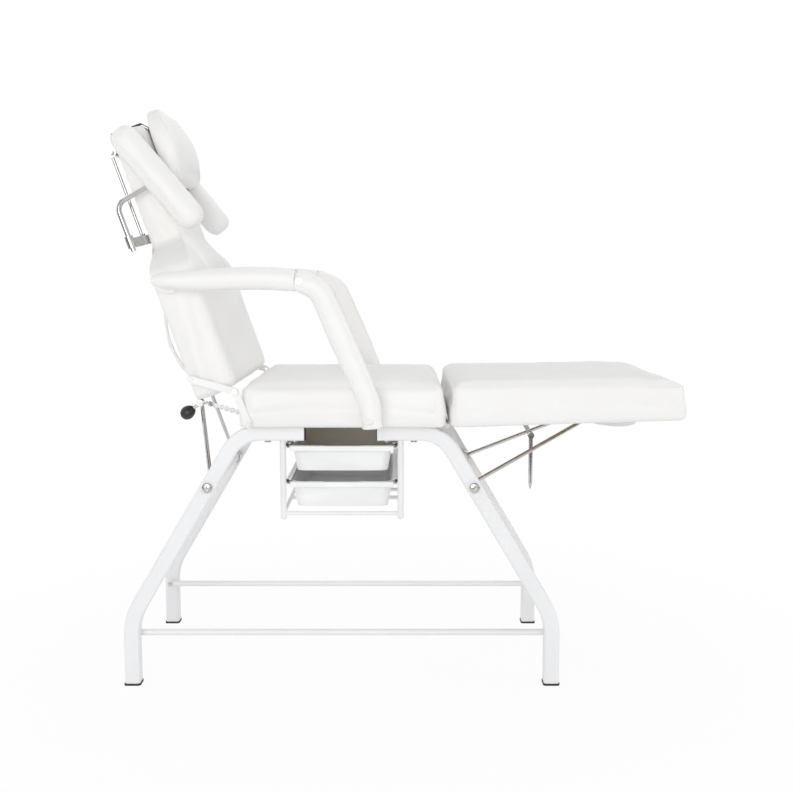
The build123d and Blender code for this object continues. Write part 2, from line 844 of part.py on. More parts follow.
with BuildPart() as backrest_side_blocks:
    for block in side_blocks:
        add(block)
    for screw in arm_screws:
        add(screw, mode=Mode.SUBTRACT)
save(backrest_side_blocks.part, "backrest_side_blocks")
with BuildPart() as back_side_plates:
    for strap in back_straps + arm_straps:
        add(strap)
save(back_side_plates.part, "back_side_plates")
with BuildPart() as back_side_screws:
    for screw in back_screws + arm_screws:
        add(screw)
save(back_side_screws.part, "back_side_screws")
with BuildPart() as arm_pivot_pins:
    for side in sides:
        with BuildSketch(at_y(back_side, side * side_plate_y)):
            with Locations((arm_eye_along, arm_eye_out)):
                Circle(arm_pin_radius)
        extrude(amount=side * (arm_y + arm_pin_past - side_plate_y))
save(arm_pivot_pins.part, "arm_pivot_pins")

# Along, corner, draw and crown shares of the lower block, then of the head part
back_block_shares = (
    (0.0, 1.0, 0.0, 0.12),
    (0.012, 0.6, 0.0, 0.22),
    (0.036, 0.25, 0.05, 0.36),
    (0.08, 0.05, 0.15, 0.54),
    (0.2, 0.0, 0.5, 0.8),
    (0.55, 0.0, 1.0, 1.0),
    (1.0, 0.0, 0.3, 0.9),
)
head_block_shares = (
    (0.0, 0.0, 0.0, 1.0),
    (0.5, 0.0, 0.3, 1.0),
    (0.85, 0.0, 0.1, 0.8),
    (0.93, 0.05, 0.0, 0.54),
    (0.966, 0.25, 0.0, 0.36),
    (0.988, 0.6, 0.0, 0.22),
    (1.0, 1.0, 0.0, 0.12),
)


def block_slices(shares, start, length, half, edge, crown):
    """Slices of one stretch of the backrest."""
    slices = []
    for along_share, corner_share, draw_share, crown_share in shares:
        slices.append(
            cushion_slice(
                slice_plane(back_base, start + length * along_share),
                half - cushion_corner * corner_share - cushion_draw * draw_share,
                edge - cushion_roll * corner_share,
                crown * crown_share,
            )
        )
    return slices


lower_slices = block_slices(
    back_block_shares,
    back_hinge_gap,
    back_shoulder_along - back_hinge_gap,
    half_width,
    back_thickness,
    back_crown,
)
head_slices = block_slices(
    head_block_shares,
    head_start_along,
    back_top_along - head_start_along,
    head_half_width,
    head_thickness,
    head_crown,
)
with BuildPart() as backrest_cushion:
    add(lofted(lower_slices + head_slices, ruled=True))
    add(back_board_solid, mode=Mode.SUBTRACT)
    for piece in side_blocks + back_straps + back_screws + arm_straps + arm_screws:
        add(piece, mode=Mode.SUBTRACT)
save(backrest_cushion.part, "backrest_cushion")
save(drilled(back_board_solid, back_screws + arm_screws), "backrest_board")



def arc_slot(plane, places, half):
    """A round-ended slot of even width along an arc through three (x, y) places."""
    (ax, ay), (bx, by), (cx, cy) = places
    twice = 2 * (ax * (by - cy) + bx * (cy - ay) + cx * (ay - by))
    a_square = ax * ax + ay * ay
    b_square = bx * bx + by * by
    c_square = cx * cx + cy * cy
    middle_x = (a_square * (by - cy) + b_square * (cy - ay) + c_square * (ay - by)) / twice
    middle_y = (a_square * (cx - bx) + b_square * (ax - cx) + c_square * (bx - ax)) / twice
    middle = Vector(middle_x, middle_y)
    outer = []
    inner = []
    for x, y in places:
        spoke = (Vector(x, y) - middle).normalized()
        outer.append(Vector(x, y) + spoke * half)
        inner.append(Vector(x, y) - spoke * half)
    first = Vector(ax, ay)
    last = Vector(cx, cy)
    first_spoke = (first - middle).normalized()
    last_spoke = (last - middle).normalized()
    turn = 1 if (first - middle).cross(Vector(bx, by) - middle).Z > 0 else -1
    before = first + Vector(first_spoke.Y, -first_spoke.X) * half * turn
    after = last + Vector(-last_spoke.Y, last_spoke.X) * half * turn
    with BuildSketch(plane) as slot:
        with BuildLine():
            ThreePointArc(outer[0], outer[1], outer[2])
            ThreePointArc(outer[2], after, inner[2])
            ThreePointArc(inner[2], inner[1], inner[0])
            ThreePointArc(inner[0], before, outer[0])
        make_face()
    return slot.sketch


def guide_part(side_plane, places, half_slot, under):
    """A plate with an arc slot, on a flange under a board; the board's face is at y = under."""
    first, last = places[0], places[-1]
    rim = half_slot + guide_rim
    with BuildPart() as guide:
        with BuildSketch(side_plane):
            for place in places:
                with Locations(place):
                    Circle(rim)
            with Locations((first[0], under - guide_flange_thickness / 2)):
                Rectangle(2 * rim, guide_flange_thickness)
            with Locations((last[0], under - guide_flange_thickness / 2)):
                Rectangle(2 * rim, guide_flange_thickness)
            make_hull()
        extrude(amount=guide_thickness / 2, both=True)
        with BuildSketch(side_plane):
            with Locations(((first[0] + last[0]) / 2, under - guide_flange_thickness / 2)):
                Rectangle(abs(last[0] - first[0]) + 2 * rim, guide_flange_thickness)
        extrude(amount=guide_flange_half_width, both=True)
        slot = arc_slot(side_plane, places[::2], half_slot)
        extrude(to_extrude=slot, amount=guide_thickness, both=True, mode=Mode.SUBTRACT)
    return guide.part


def strut_part(tube_x, top, top_y):
    """An A-shaped strut: one bent rod between two collars on a cross tube."""
    root_y = strut_collar_y
    rod = bent_rod(
        (
            (tube_x, -root_y, cross_tube_z),
            (top.X, -top_y, top.Z),
            (top.X, top_y, top.Z),
            (tube_x, root_y, cross_tube_z),
        ),
        strut_rod_radius,
        [strut_bend_radius, strut_bend_radius],
    )
    with BuildPart() as strut:
        add(rod)
        for side in sides:
            with BuildSketch(across(tube_x, cross_tube_z, side * root_y)):
                Circle(strut_collar_radius)
            extrude(amount=strut_collar_length / 2, both=True)
        with BuildSketch(across(tube_x, cross_tube_z, 0)):
            Circle(cross_tube_radius + hinge_fit)
        extrude(amount=leg_y, both=True, mode=Mode.SUBTRACT)
    return strut.part


# Back strut and the slotted guide on the back of the backrest
guide_shares = (0.0, 0.25, 0.5, 0.75, 1.0)


def back_strut_top(fold):
    """Where the strut's cross bar is when the backrest has folded by an angle in degrees."""
    lean = radians(back_strut_lean + back_strut_ratio * fold)
    return Vector(
        head_tube_x - back_strut_length * sin(lean), 0, cross_tube_z + back_strut_length * cos(lean)
    )


def back_slot_place(fold):
    """The same cross bar in the folded backrest's own frame."""
    angle = radians(back_lean + fold)
    offset = back_strut_top(fold) - back_pivot
    return (
        offset.dot(Vector(-sin(angle), 0, cos(angle))),
        offset.dot(Vector(cos(angle), 0, sin(angle))),
    )


back_slot_places = [back_slot_place(back_range * share) for share in guide_shares]
back_strut_body = strut_part(head_tube_x, back_strut_top(0), back_strut_top_y)

first, last = back_slot_places[0], back_slot_places[-1]
guide_half = strut_rod_radius + guide_slack
guide_outer = guide_half + guide_rim
with BuildPart() as back_guide:
    with BuildSketch(back_side):
        for place in back_slot_places:
            with Locations(place):
                Circle(guide_outer)
        for place in (first, last):
            with Locations((place[0], rear_out - guide_flange_thickness / 2)):
                Rectangle(2 * guide_outer, guide_flange_thickness)
        make_hull()
    extrude(amount=guide_thickness / 2, both=True)
    with BuildSketch(back_side):
        with Locations(((first[0] + last[0]) / 2, rear_out - guide_flange_thickness / 2)):
            Rectangle(last[0] - first[0] + 2 * guide_outer, guide_flange_thickness)
    extrude(amount=guide_flange_half_width, both=True)
    back_slot = arc_slot(back_side, back_slot_places[::2], guide_half)
    extrude(to_extrude=back_slot, amount=guide_thickness, both=True, mode=Mode.SUBTRACT)
    with BuildSketch(back_side):
        with Locations((back_window_along, back_window_out)):
            Circle(back_window_radius)
    extrude(amount=guide_thickness, both=True, mode=Mode.SUBTRACT)
save(back_guide.part, "back_guide_plate")

# Leg rest: board, cushion, guide, studs
leg_start = leg_rest_gap / 2
leg_base = Plane(origin=leg_point(leg_start, leg_hinge_pin_drop), x_dir=along_leg, z_dir=up_leg)
leg_board_solid = board_outline_part(
    leg_base, board_inset, leg_rest_length - 2 * board_inset, 2 * board_edge_y
)
save(leg_board_solid, "leg_rest_board")
leg_form = cushion_form(
    leg_base, leg_rest_length, leg_rest_edge_height, leg_rest_crown, toe_rise=leg_rest_toe_rise
)
with BuildPart() as leg_cushion:
    add(leg_form)
    add(leg_board_solid, mode=Mode.SUBTRACT)
save(leg_cushion.part, "leg_rest_cushion")

leg_strut_run_x = leg_strut_top_x - foot_tube_x
leg_strut_run_z = leg_strut_top_z - cross_tube_z
leg_strut_length = hypot(leg_strut_run_x, leg_strut_run_z)
leg_strut_angle = degrees(atan2(leg_strut_run_z, leg_strut_run_x))


def leg_slot_place(drop):
    """The leg strut's cross bar in the leg rest's frame when it has dropped by an angle in degrees."""
    angle = radians(leg_strut_angle - leg_strut_ratio * drop)
    top = Vector(foot_tube_x + leg_strut_length * cos(angle), 0, cross_tube_z + leg_strut_length * sin(angle))
    tilt = radians(leg_rest_tilt - drop)
    offset = top - leg_pivot
    return (
        offset.dot(Vector(cos(tilt), 0, sin(tilt))),
        offset.dot(Vector(-sin(tilt), 0, cos(tilt))),
    )


leg_slot_places = [leg_slot_place(leg_rest_range * share) for share in guide_shares]
leg_strut_top = Vector(leg_strut_top_x, 0, leg_strut_top_z)
save(strut_part(foot_tube_x, leg_strut_top, leg_strut_top_y), "leg_strut")
leg_guide = guide_part(leg_side, leg_slot_places, strut_rod_radius + leg_guide_slack, leg_hinge_pin_drop)
save(leg_guide, "leg_guide_plate")

with BuildPart() as leg_studs:
    for side in sides:
        for place in stud_places:
            under = leg_point(place, leg_hinge_pin_drop, side * stud_y)
            with BuildSketch(Plane(origin=under, x_dir=along_leg, z_dir=up_leg)):
                Circle(stud_radius)
            extrude(amount=-stud_height)
save(leg_studs.part, "leg_rest_studs")

# Leg rest hinges: leaves under the two boards, knuckles round a pin
knuckle_ends = (
    leg_hinge_y[0],
    leg_hinge_y[0] + leg_hinge_knuckle_length,
    leg_hinge_y[1] - leg_hinge_knuckle_length,
    leg_hinge_y[1],
)
with BuildPart() as seat_leaves:
    for side in sides:
        for start_y, end_y in ((knuckle_ends[0], knuckle_ends[1]), (knuckle_ends[2], knuckle_ends[3])):
            with BuildSketch(across(leg_pivot_x, leg_pivot_z, side * start_y)):
                Circle(leg_hinge_knuckle_radius)
                with Locations((-leg_hinge_leaf_length / 2, -leg_hinge_pin_drop + plate_thickness / 2)):
                    Rectangle(leg_hinge_leaf_length, plate_thickness)
                with Locations((-leg_hinge_knuckle_radius / 2, -leg_hinge_pin_drop / 2)):
                    Rectangle(leg_hinge_knuckle_radius, leg_hinge_pin_drop)
                Circle(leg_hinge_pin_radius, mode=Mode.SUBTRACT)
            extrude(amount=side * (end_y - start_y))
        leaf_top = (leg_pivot_x, 0, board_underside_z - plate_thickness)
        with BuildSketch(Plane(origin=leaf_top, z_dir=(0, 0, 1))):
            with Locations((-leg_hinge_leaf_length * 2 / 3, side * (leg_hinge_y[0] + leg_hinge_y[1]) / 2)):
                Rectangle(leg_hinge_leaf_length * 2 / 3, leg_hinge_y[1] - leg_hinge_y[0])
        extrude(amount=plate_thickness)
save(seat_leaves.part, "leg_hinge_seat_leaves")

with BuildPart() as leg_leaves:
    for side in sides:
        start_y = knuckle_ends[1] + leg_hinge_side_gap
        width = knuckle_ends[2] - knuckle_ends[1] - 2 * leg_hinge_side_gap
        with BuildSketch(at_y(leg_side, side * (start_y + width / 2))):
            Circle(leg_hinge_knuckle_radius)
            with Locations((leg_hinge_leaf_length / 2, leg_hinge_pin_drop - plate_thickness / 2)):
                Rectangle(leg_hinge_leaf_length, plate_thickness)
            with Locations((leg_hinge_knuckle_radius / 2, leg_hinge_pin_drop / 2)):
                Rectangle(leg_hinge_knuckle_radius, leg_hinge_pin_drop)
            Circle(leg_hinge_pin_radius + hinge_fit, mode=Mode.SUBTRACT)
        extrude(amount=width / 2, both=True)
        leaf_middle = (leg_hinge_y[0] + leg_hinge_y[1]) / 2
        leaf_origin = leg_point(
            leg_hinge_leaf_length * 2 / 3, leg_hinge_pin_drop - plate_thickness, side * leaf_middle
        )
        with BuildSketch(Plane(origin=leaf_origin, x_dir=along_leg, z_dir=up_leg)):
            Rectangle(leg_hinge_leaf_length * 2 / 3, leg_hinge_y[1] - leg_hinge_y[0])
        extrude(amount=plate_thickness)
save(leg_leaves.part, "leg_hinge_leg_leaves")

with BuildPart() as leg_hinge_pins:
    for side in sides:
        with BuildSketch(across(leg_pivot_x, leg_pivot_z, side * leg_hinge_y[0])):
            Circle(leg_hinge_pin_radius)
        extrude(amount=side * (leg_hinge_y[1] - leg_hinge_y[0]))
save(leg_hinge_pins.part, "leg_hinge_pins")

# Release catch under the leg rest and the pull rod that hangs from it
pull_pivot = leg_point(pull_along, leg_hinge_pin_drop - pull_drop)
catch_places = (
    (catch_pivot_along, leg_hinge_pin_drop - catch_pivot_drop),
    (catch_elbow_along, leg_hinge_pin_drop - catch_elbow_drop),
    (pull_along, leg_hinge_pin_drop - pull_drop),
)
with BuildPart() as catch:
    for near, far in ((catch_places[0], catch_places[1]), (catch_places[1], catch_places[2])):
        with BuildSketch(leg_side):
            for place in (near, far):
                with Locations(place):
                    Circle(catch_width / 2)
            make_hull()
        extrude(amount=catch_thickness / 2, both=True)
    with BuildSketch(leg_side):
        with Locations(catch_places[0]):
            Circle(catch_pin_radius + hinge_fit)
    extrude(amount=catch_thickness, both=True, mode=Mode.SUBTRACT)
    with BuildSketch(leg_side):
        with Locations(catch_places[2]):
            Circle(pull_pin_radius)
    extrude(amount=pull_ear_half_width + pull_pin_past, both=True)
save(catch.part, "leg_release_catch")

with BuildPart() as catch_bracket:
    ear_inner = catch_thickness / 2 + hinge_washer
    for side in sides:
        with BuildSketch(at_y(leg_side, side * ear_inner)):
            with Locations(catch_places[0]):
                Circle(catch_ear_radius)
            with Locations((catch_pivot_along, leg_hinge_pin_drop - plate_thickness / 2)):
                Rectangle(catch_bracket_length, plate_thickness)
            make_hull()
        extrude(amount=-side * plate_thickness)
    with BuildSketch(leg_side):
        with Locations((catch_pivot_along, leg_hinge_pin_drop - plate_thickness / 2)):
            Rectangle(catch_bracket_length, plate_thickness)
    extrude(amount=ear_inner + plate_thickness, both=True)
    with BuildSketch(leg_side):
        with Locations(catch_places[0]):
            Circle(catch_pin_radius)
    extrude(amount=ear_inner + plate_thickness, both=True)
save(catch_bracket.part, "leg_release_bracket")

with BuildPart() as pull_rod:
    with BuildSketch(Plane(origin=(pull_pivot.X, 0, pull_pivot.Z), z_dir=(0, 0, -1))):
        Circle(pull_rod_radius)
    extrude(amount=pull_rod_length - pull_tip_length)
    with BuildSketch(across(pull_pivot.X, pull_pivot.Z, 0)):
        Circle(pull_ear_radius)
    extrude(amount=pull_ear_half_width, both=True)
    with BuildSketch(Plane(origin=(pull_pivot.X, 0, pull_pivot.Z - pull_rod_length + pull_tip_length))):
        Circle(pull_rod_radius)
    with BuildSketch(Plane(origin=(pull_pivot.X, 0, pull_pivot.Z - pull_rod_length))):
        Circle(pull_tip_radius)
    loft()
    with BuildSketch(across(pull_pivot.X, pull_pivot.Z, 0)):
        Circle(catch_width / 2 + pull_fork_gap)
        with Locations((0, -pull_ear_radius)):
            Rectangle(4 * pull_ear_radius, 2 * pull_ear_radius)
    extrude(amount=catch_thickness / 2 + pull_fork_gap, both=True, mode=Mode.SUBTRACT)
    with BuildSketch(across(pull_pivot.X, pull_pivot.Z, 0)):
        Circle(pull_pin_radius + hinge_fit)
    extrude(amount=pull_ear_half_width + overrun, both=True, mode=Mode.SUBTRACT)
save(pull_rod.part, "leg_release_pull_rod")

# Notched ratchet rack behind the seat and its bracket
rack_angle = radians(rack_lean)
rack_dir = Vector(-cos(rack_angle), 0, sin(rack_angle))
rack_side = Plane(origin=(rack_pivot_x, rack_y, rack_pivot_z), x_dir=rack_dir, z_dir=(0, 1, 0))
rack_tooth_count = 7
with BuildPart() as rack:
    with BuildSketch(rack_side):
        with Locations((rack_length / 2, 0)):
            Rectangle(rack_length, rack_height)
        with Locations((rack_length, 0)):
            Circle(rack_height / 2)
        Circle(rack_boss_radius)
        Circle(rack_pin_radius + hinge_fit, mode=Mode.SUBTRACT)
        for tooth in range(rack_tooth_count):
            for edge in sides:
                with Locations((rack_length - tooth * rack_tooth_pitch, edge * rack_height / 2)):
                    Circle(rack_tooth_depth, mode=Mode.SUBTRACT)
    extrude(amount=rack_thickness / 2, both=True)
save(rack.part, "ratchet_rack")

with BuildPart() as rack_bracket:
    plate_y = rack_y - rack_thickness / 2 - hinge_washer
    with BuildSketch(across(rack_pivot_x, rack_pivot_z, plate_y)):
        Circle(rack_boss_radius)
        with Locations((0, rack_pivot_z - board_underside_z + plate_thickness / 2)):
            Rectangle(rack_bracket_length, plate_thickness)
        make_hull()
    extrude(amount=-plate_thickness)
    with BuildSketch(Plane(origin=(rack_pivot_x, plate_y, board_underside_z), z_dir=(0, 0, 1))):
        with Locations((0, -rack_bracket_height / 2)):
            Rectangle(rack_bracket_length, rack_bracket_height)
    extrude(amount=-plate_thickness)
    with BuildSketch(across(rack_pivot_x, rack_pivot_z, plate_y)):
        Circle(rack_pin_radius)
    extrude(amount=rack_thickness + 2 * hinge_washer)
    with BuildSketch(across(rack_pivot_x, rack_pivot_z, plate_y + rack_thickness + 2 * hinge_washer)):
        Circle(rack_pin_radius + skin_round)
    extrude(amount=skin_round)
save(rack_bracket.part, "ratchet_rack_bracket")

# Release lever on the back strut, with its egg-shaped knob
strut_top = back_strut_top(0)
strut_foot = Vector(head_tube_x, -strut_collar_y, cross_tube_z)
strut_shoulder = Vector(strut_top.X, -back_strut_top_y, strut_top.Z)
lever_root = strut_foot + (strut_shoulder - strut_foot) * lever_pivot_share
hub_near = lever_root.Y - lever_hub_gap
with BuildPart() as lever_pin:
    with BuildSketch(across(lever_root.X, lever_root.Z, lever_root.Y)):
        Circle(lever_pin_radius)
    extrude(amount=-(lever_hub_gap + lever_hub_width + hinge_washer))
    with BuildSketch(across(lever_root.X, lever_root.Z, hub_near - lever_hub_width - hinge_washer)):
        Circle(lever_hub_radius - skin_round)
    extrude(amount=-small_screw_head_height)
    with BuildSketch(across(lever_root.X, lever_root.Z, lever_root.Y)):
        Circle(lever_hub_radius)
    extrude(amount=-(lever_hub_gap - hinge_washer))
with BuildPart() as back_strut:
    add(back_strut_body)
    add(lever_pin.part)
save(back_strut.part, "back_strut")

knob_middle = Vector(lever_root.X - lever_reach, hub_near - lever_hub_width / 2, lever_root.Z - lever_drop)
lever_start = Vector(lever_root.X, hub_near - lever_hub_width / 2, lever_root.Z)
lever_dir = (knob_middle - lever_start).normalized()
knob_start = knob_middle - lever_dir * (knob_length / 2)
with BuildPart() as release_lever:
    with BuildSketch(across(lever_root.X, lever_root.Z, hub_near)):
        Circle(lever_hub_radius)
    extrude(amount=-lever_hub_width)
    add(straight_rod(lever_start, knob_middle, lever_rod_radius))
    with BuildSketch(across(lever_root.X, lever_root.Z, hub_near + overrun)):
        Circle(lever_pin_radius + hinge_fit)
    extrude(amount=-(lever_hub_width + 2 * overrun), mode=Mode.SUBTRACT)
save(release_lever.part, "release_lever")

# Distance along the knob and radius, both as shares of its size
knob_profile_shares = (
    (0.0, 0.42),
    (0.15, 0.74),
    (0.38, 0.97),
    (0.62, 1.0),
    (0.84, 0.78),
)
knob_plane = Plane(origin=knob_start, x_dir=lever_dir, z_dir=(0, 1, 0))
with BuildPart() as ball_knob:
    with BuildSketch(knob_plane):
        with BuildLine():
            outline = [(knob_length * a, knob_radius * r) for a, r in knob_profile_shares]
            Line((0, 0), outline[0])
            Spline(*outline, (knob_length, 0))
            Line((knob_length, 0), (0, 0))
        make_face()
    revolve(axis=Axis(knob_start, lever_dir))
    add(straight_rod(lever_start, knob_middle, lever_rod_radius), mode=Mode.SUBTRACT)
save(ball_knob.part, "ball_knob")

# Arms: a level pad on each side, carried by the backrest and by a post that swings with it
def pad_slices(side):
    """Oval slices of an arm pad, from its tail to its front."""
    slices = []
    for behind, rise, half_up, half_across in arm_pad_stations:
        base = Plane(
            origin=(arm_front_x - behind, side * arm_y, arm_front_z), x_dir=(0, 1, 0), z_dir=(1, 0, 0)
        )
        slices.append(oval_slice(base, half_across, half_up, middle=rise))
    return slices


for side in sides:
    side_name = side_names[side]
    pad_form = lofted(pad_slices(side), ruled=True)
    with BuildPart() as pad_core:
        core_start = arm_rear_x - arm_core_past
        core_end = arm_front_x - arm_core_stop
        core_middle_x = (core_start + core_end) / 2
        with BuildSketch(across(core_middle_x, arm_front_z, side * arm_y)):
            RectangleRounded(core_end - core_start, arm_core_width, arm_core_width / 3)
            with Locations((arm_rear_x - core_middle_x, 0)):
                Circle(arm_pin_radius + hinge_fit, mode=Mode.SUBTRACT)
        extrude(amount=arm_core_thickness / 2, both=True)
    save(pad_core.part, f"arm_core_{side_name}")
    with BuildPart() as arm_pad:
        add(pad_form)
        with BuildSketch(across(core_middle_x, arm_front_z, side * arm_y)):
            RectangleRounded(core_end - core_start, arm_core_width, arm_core_width / 3)
        extrude(amount=arm_core_thickness / 2, both=True, mode=Mode.SUBTRACT)
        with BuildSketch(across(arm_rear_x, arm_front_z, side * side_plate_y)):
            Circle(arm_pin_radius + soft_gap)
        extrude(amount=side * (arm_y + arm_pin_past + soft_gap - side_plate_y), mode=Mode.SUBTRACT)
        with Locations((arm_front_x, side * arm_y, arm_front_z)):
            Sphere(arm_radius + arm_cup_gap, mode=Mode.SUBTRACT)
    save(arm_pad.part, f"arm_pad_{side_name}")

    post_places = []
    for x, z in ((0, 0), post_elbow, post_knee, post_foot):
        post_places.append((arm_front_x + x, side * arm_y, arm_front_z + z))
    core_end_share = arm_radius / dist(post_knee, post_foot)
    core_foot = (
        post_places[3][0] + (post_places[2][0] - post_places[3][0]) * core_end_share,
        side * arm_y,
        post_places[3][2] + (post_places[2][2] - post_places[3][2]) * core_end_share,
    )
    post_skin = bent_rod(post_places, arm_radius, [post_elbow_radius, post_knee_radius])
    post_steel = bent_rod(
        post_places[:3] + [core_foot], post_core_radius, [post_elbow_radius, post_knee_radius]
    )
    bolt_places = []
    for x, z in post_bolt_places:
        bolt_places.append((arm_front_x + x, arm_front_z + z))
    with BuildPart() as post_bolts:
        for x, z in bolt_places:
            with BuildSketch(across(x, z, side * (arm_y + arm_radius - post_bolt_sink))):
                Circle(post_bolt_head_radius)
            extrude(amount=side * post_bolt_head_height)
            with BuildSketch(across(x, z, side * arm_y)):
                Circle(post_bolt_radius)
            extrude(amount=side * (arm_radius - post_bolt_sink))
    with BuildPart() as post_core:
        add(post_steel)
        with BuildSketch(across(post_eye[0], post_eye[1], 0)):
            Circle(arm_pin_radius + hinge_fit)
        extrude(amount=side * (arm_y + arm_radius), mode=Mode.SUBTRACT)
        add(post_bolts.part)
    save(post_core.part, f"arm_post_core_{side_name}")
    with BuildPart() as arm_post:
        add(post_skin)
        with Locations(post_places[0], post_places[3]):
            Sphere(arm_radius)
        add(post_steel, mode=Mode.SUBTRACT)
        add(post_bolts.part, mode=Mode.SUBTRACT)
        with BuildSketch(across(post_eye[0], post_eye[1], side * side_plate_y)):
            Circle(arm_pin_radius + soft_gap)
        extrude(amount=side * (arm_y + arm_pin_past + soft_gap - side_plate_y), mode=Mode.SUBTRACT)
    save(arm_post.part, f"arm_post_{side_name}")

# Drawer frame: four round-ended posts under the rails, joined by bars at their feet
drawer_posts = (drawer_post_left_x, drawer_post_right_x)
with BuildPart() as drawer_frame:
    for x in drawer_posts:
        for side in sides:
            with BuildSketch(Plane(origin=(x, side * leg_y, drawer_frame_bottom_z), z_dir=(0, 0, 1))):
                Circle(drawer_post_radius)
            extrude(amount=rail_z - leg_radius - drawer_frame_bottom_z)
            with Locations((x, side * leg_y, drawer_frame_bottom_z)):
                Sphere(drawer_post_radius)
        with BuildSketch(across(x, drawer_bar_z, 0)):
            Circle(drawer_bar_radius)
        extrude(amount=leg_y, both=True)
    bar_middle = (drawer_post_left_x + drawer_post_right_x) / 2
    for y in (-leg_y, -drawer_brace_y, drawer_brace_y, leg_y):
        with BuildSketch(Plane(origin=(bar_middle, y, drawer_bar_z), z_dir=(1, 0, 0))):
            Circle(drawer_bar_radius)
        extrude(amount=(drawer_post_right_x - drawer_post_left_x) / 2, both=True)
save(drawer_frame.part, "drawer_frame")

# Runners: channels across the frame, open towards the drawers
runner_faces = (
    (drawer_post_left_x + drawer_post_radius, 1),
    (drawer_post_right_x - drawer_post_radius, -1),
)
with BuildPart() as runners:
    for x, inward in runner_faces:
        for z in runner_z:
            with BuildSketch(Plane(origin=(x, 0, z), x_dir=(1, 0, 0), z_dir=(0, -1, 0))):
                with Locations((inward * runner_depth / 2, 0)):
                    Rectangle(runner_depth, runner_height)
                with Locations((inward * (runner_depth / 2 + runner_wall), 0)):
                    Rectangle(runner_depth, runner_height - 2 * runner_wall, mode=Mode.SUBTRACT)
            extrude(amount=leg_y, both=True)
save(runners.part, "drawer_runners")

# Drawers: open plastic tubs that hang by their lips in the runners
tub_middle_x = (drawer_post_left_x + drawer_post_right_x) / 2
clear_width = drawer_post_right_x - drawer_post_left_x - 2 * drawer_post_radius
tub_width = clear_width - 2 * runner_depth - 2 * drawer_side_gap
lip_width = clear_width - 2 * runner_wall - 2 * drawer_side_gap
tub_middle_y = drawer_front_y + drawer_depth / 2


def tub_part(top_z):
    """One drawer: a tapered tub with a thin wall, a lip at both sides and a finger pull in front."""
    inside_width = tub_width - 2 * drawer_wall
    inside_depth = drawer_depth - 2 * drawer_wall
    with BuildPart() as tub:
        with BuildSketch(Plane(origin=(tub_middle_x, tub_middle_y, top_z - drawer_height), z_dir=(0, 0, 1))):
            RectangleRounded(
                tub_width - 2 * drawer_taper, drawer_depth - 2 * drawer_taper, drawer_corner_radius
            )
        with BuildSketch(Plane(origin=(tub_middle_x, tub_middle_y, top_z), z_dir=(0, 0, 1))):
            RectangleRounded(tub_width, drawer_depth, drawer_corner_radius)
        loft()
        with BuildSketch(Plane(origin=(tub_middle_x, tub_middle_y, top_z), z_dir=(0, 0, 1))):
            RectangleRounded(lip_width, drawer_depth, drawer_lip)
        extrude(amount=-drawer_lip_thickness)
        with BuildSketch(
            Plane(origin=(tub_middle_x, tub_middle_y, top_z - drawer_height + drawer_wall), z_dir=(0, 0, 1))
        ):
            RectangleRounded(
                inside_width - 2 * drawer_taper, inside_depth - 2 * drawer_taper, drawer_corner_radius
            )
        with BuildSketch(Plane(origin=(tub_middle_x, tub_middle_y, top_z), z_dir=(0, 0, 1))):
            RectangleRounded(inside_width, inside_depth, drawer_corner_radius)
        loft(mode=Mode.SUBTRACT)
        with BuildSketch(Plane(origin=(tub_middle_x, drawer_front_y, top_z), z_dir=(0, 0, 1))):
            RectangleRounded(drawer_pull_width, 2 * drawer_pull_reach, drawer_lip)
            with Locations((0, drawer_pull_reach + drawer_wall)):
                Rectangle(drawer_pull_width, 2 * drawer_pull_reach, mode=Mode.SUBTRACT)
        extrude(amount=-drawer_lip_thickness)
    return tub.part


drawer_names = ("drawer_upper", "drawer_lower")
for drawer_name, z in zip(drawer_names, runner_z):
    lip_top_z = z - runner_height / 2 + runner_wall + sheet_gap + drawer_lip_thickness
    save(tub_part(lip_top_z), drawer_name)

# Head pillow on two straps over the head part
pillow_out = head_front_out + head_crown + strap_thickness + soft_gap
pillow_base = Plane(origin=back_point(pillow_start_along, pillow_out), x_dir=up_back, z_dir=out_back)
# Along, corner and crown shares of the slices through the pillow
pillow_shares = (
    (0.0, 1.0, 0.08),
    (0.015, 0.75, 0.15),
    (0.05, 0.45, 0.3),
    (0.11, 0.2, 0.5),
    (0.2, 0.06, 0.75),
    (0.35, 0.0, 0.93),
    (0.5, 0.0, 1.0),
    (0.65, 0.0, 0.93),
    (0.8, 0.06, 0.75),
    (0.89, 0.2, 0.5),
    (0.95, 0.45, 0.3),
    (0.985, 0.75, 0.15),
    (1.0, 1.0, 0.08),
)
pillow_slices = []
for along_share, corner_share, crown_share in pillow_shares:
    pillow_slices.append(
        cushion_slice(
            slice_plane(pillow_base, pillow_length * along_share),
            pillow_half_width - pillow_corner * corner_share,
            pillow_thickness - pillow_roll * corner_share,
            pillow_crown * crown_share,
            low=pillow_under_roll * corner_share,
            shoulder=pillow_shoulder * (1 - corner_share / 2),
        )
    )
save(lofted(pillow_slices, ruled=True), "head_pillow")

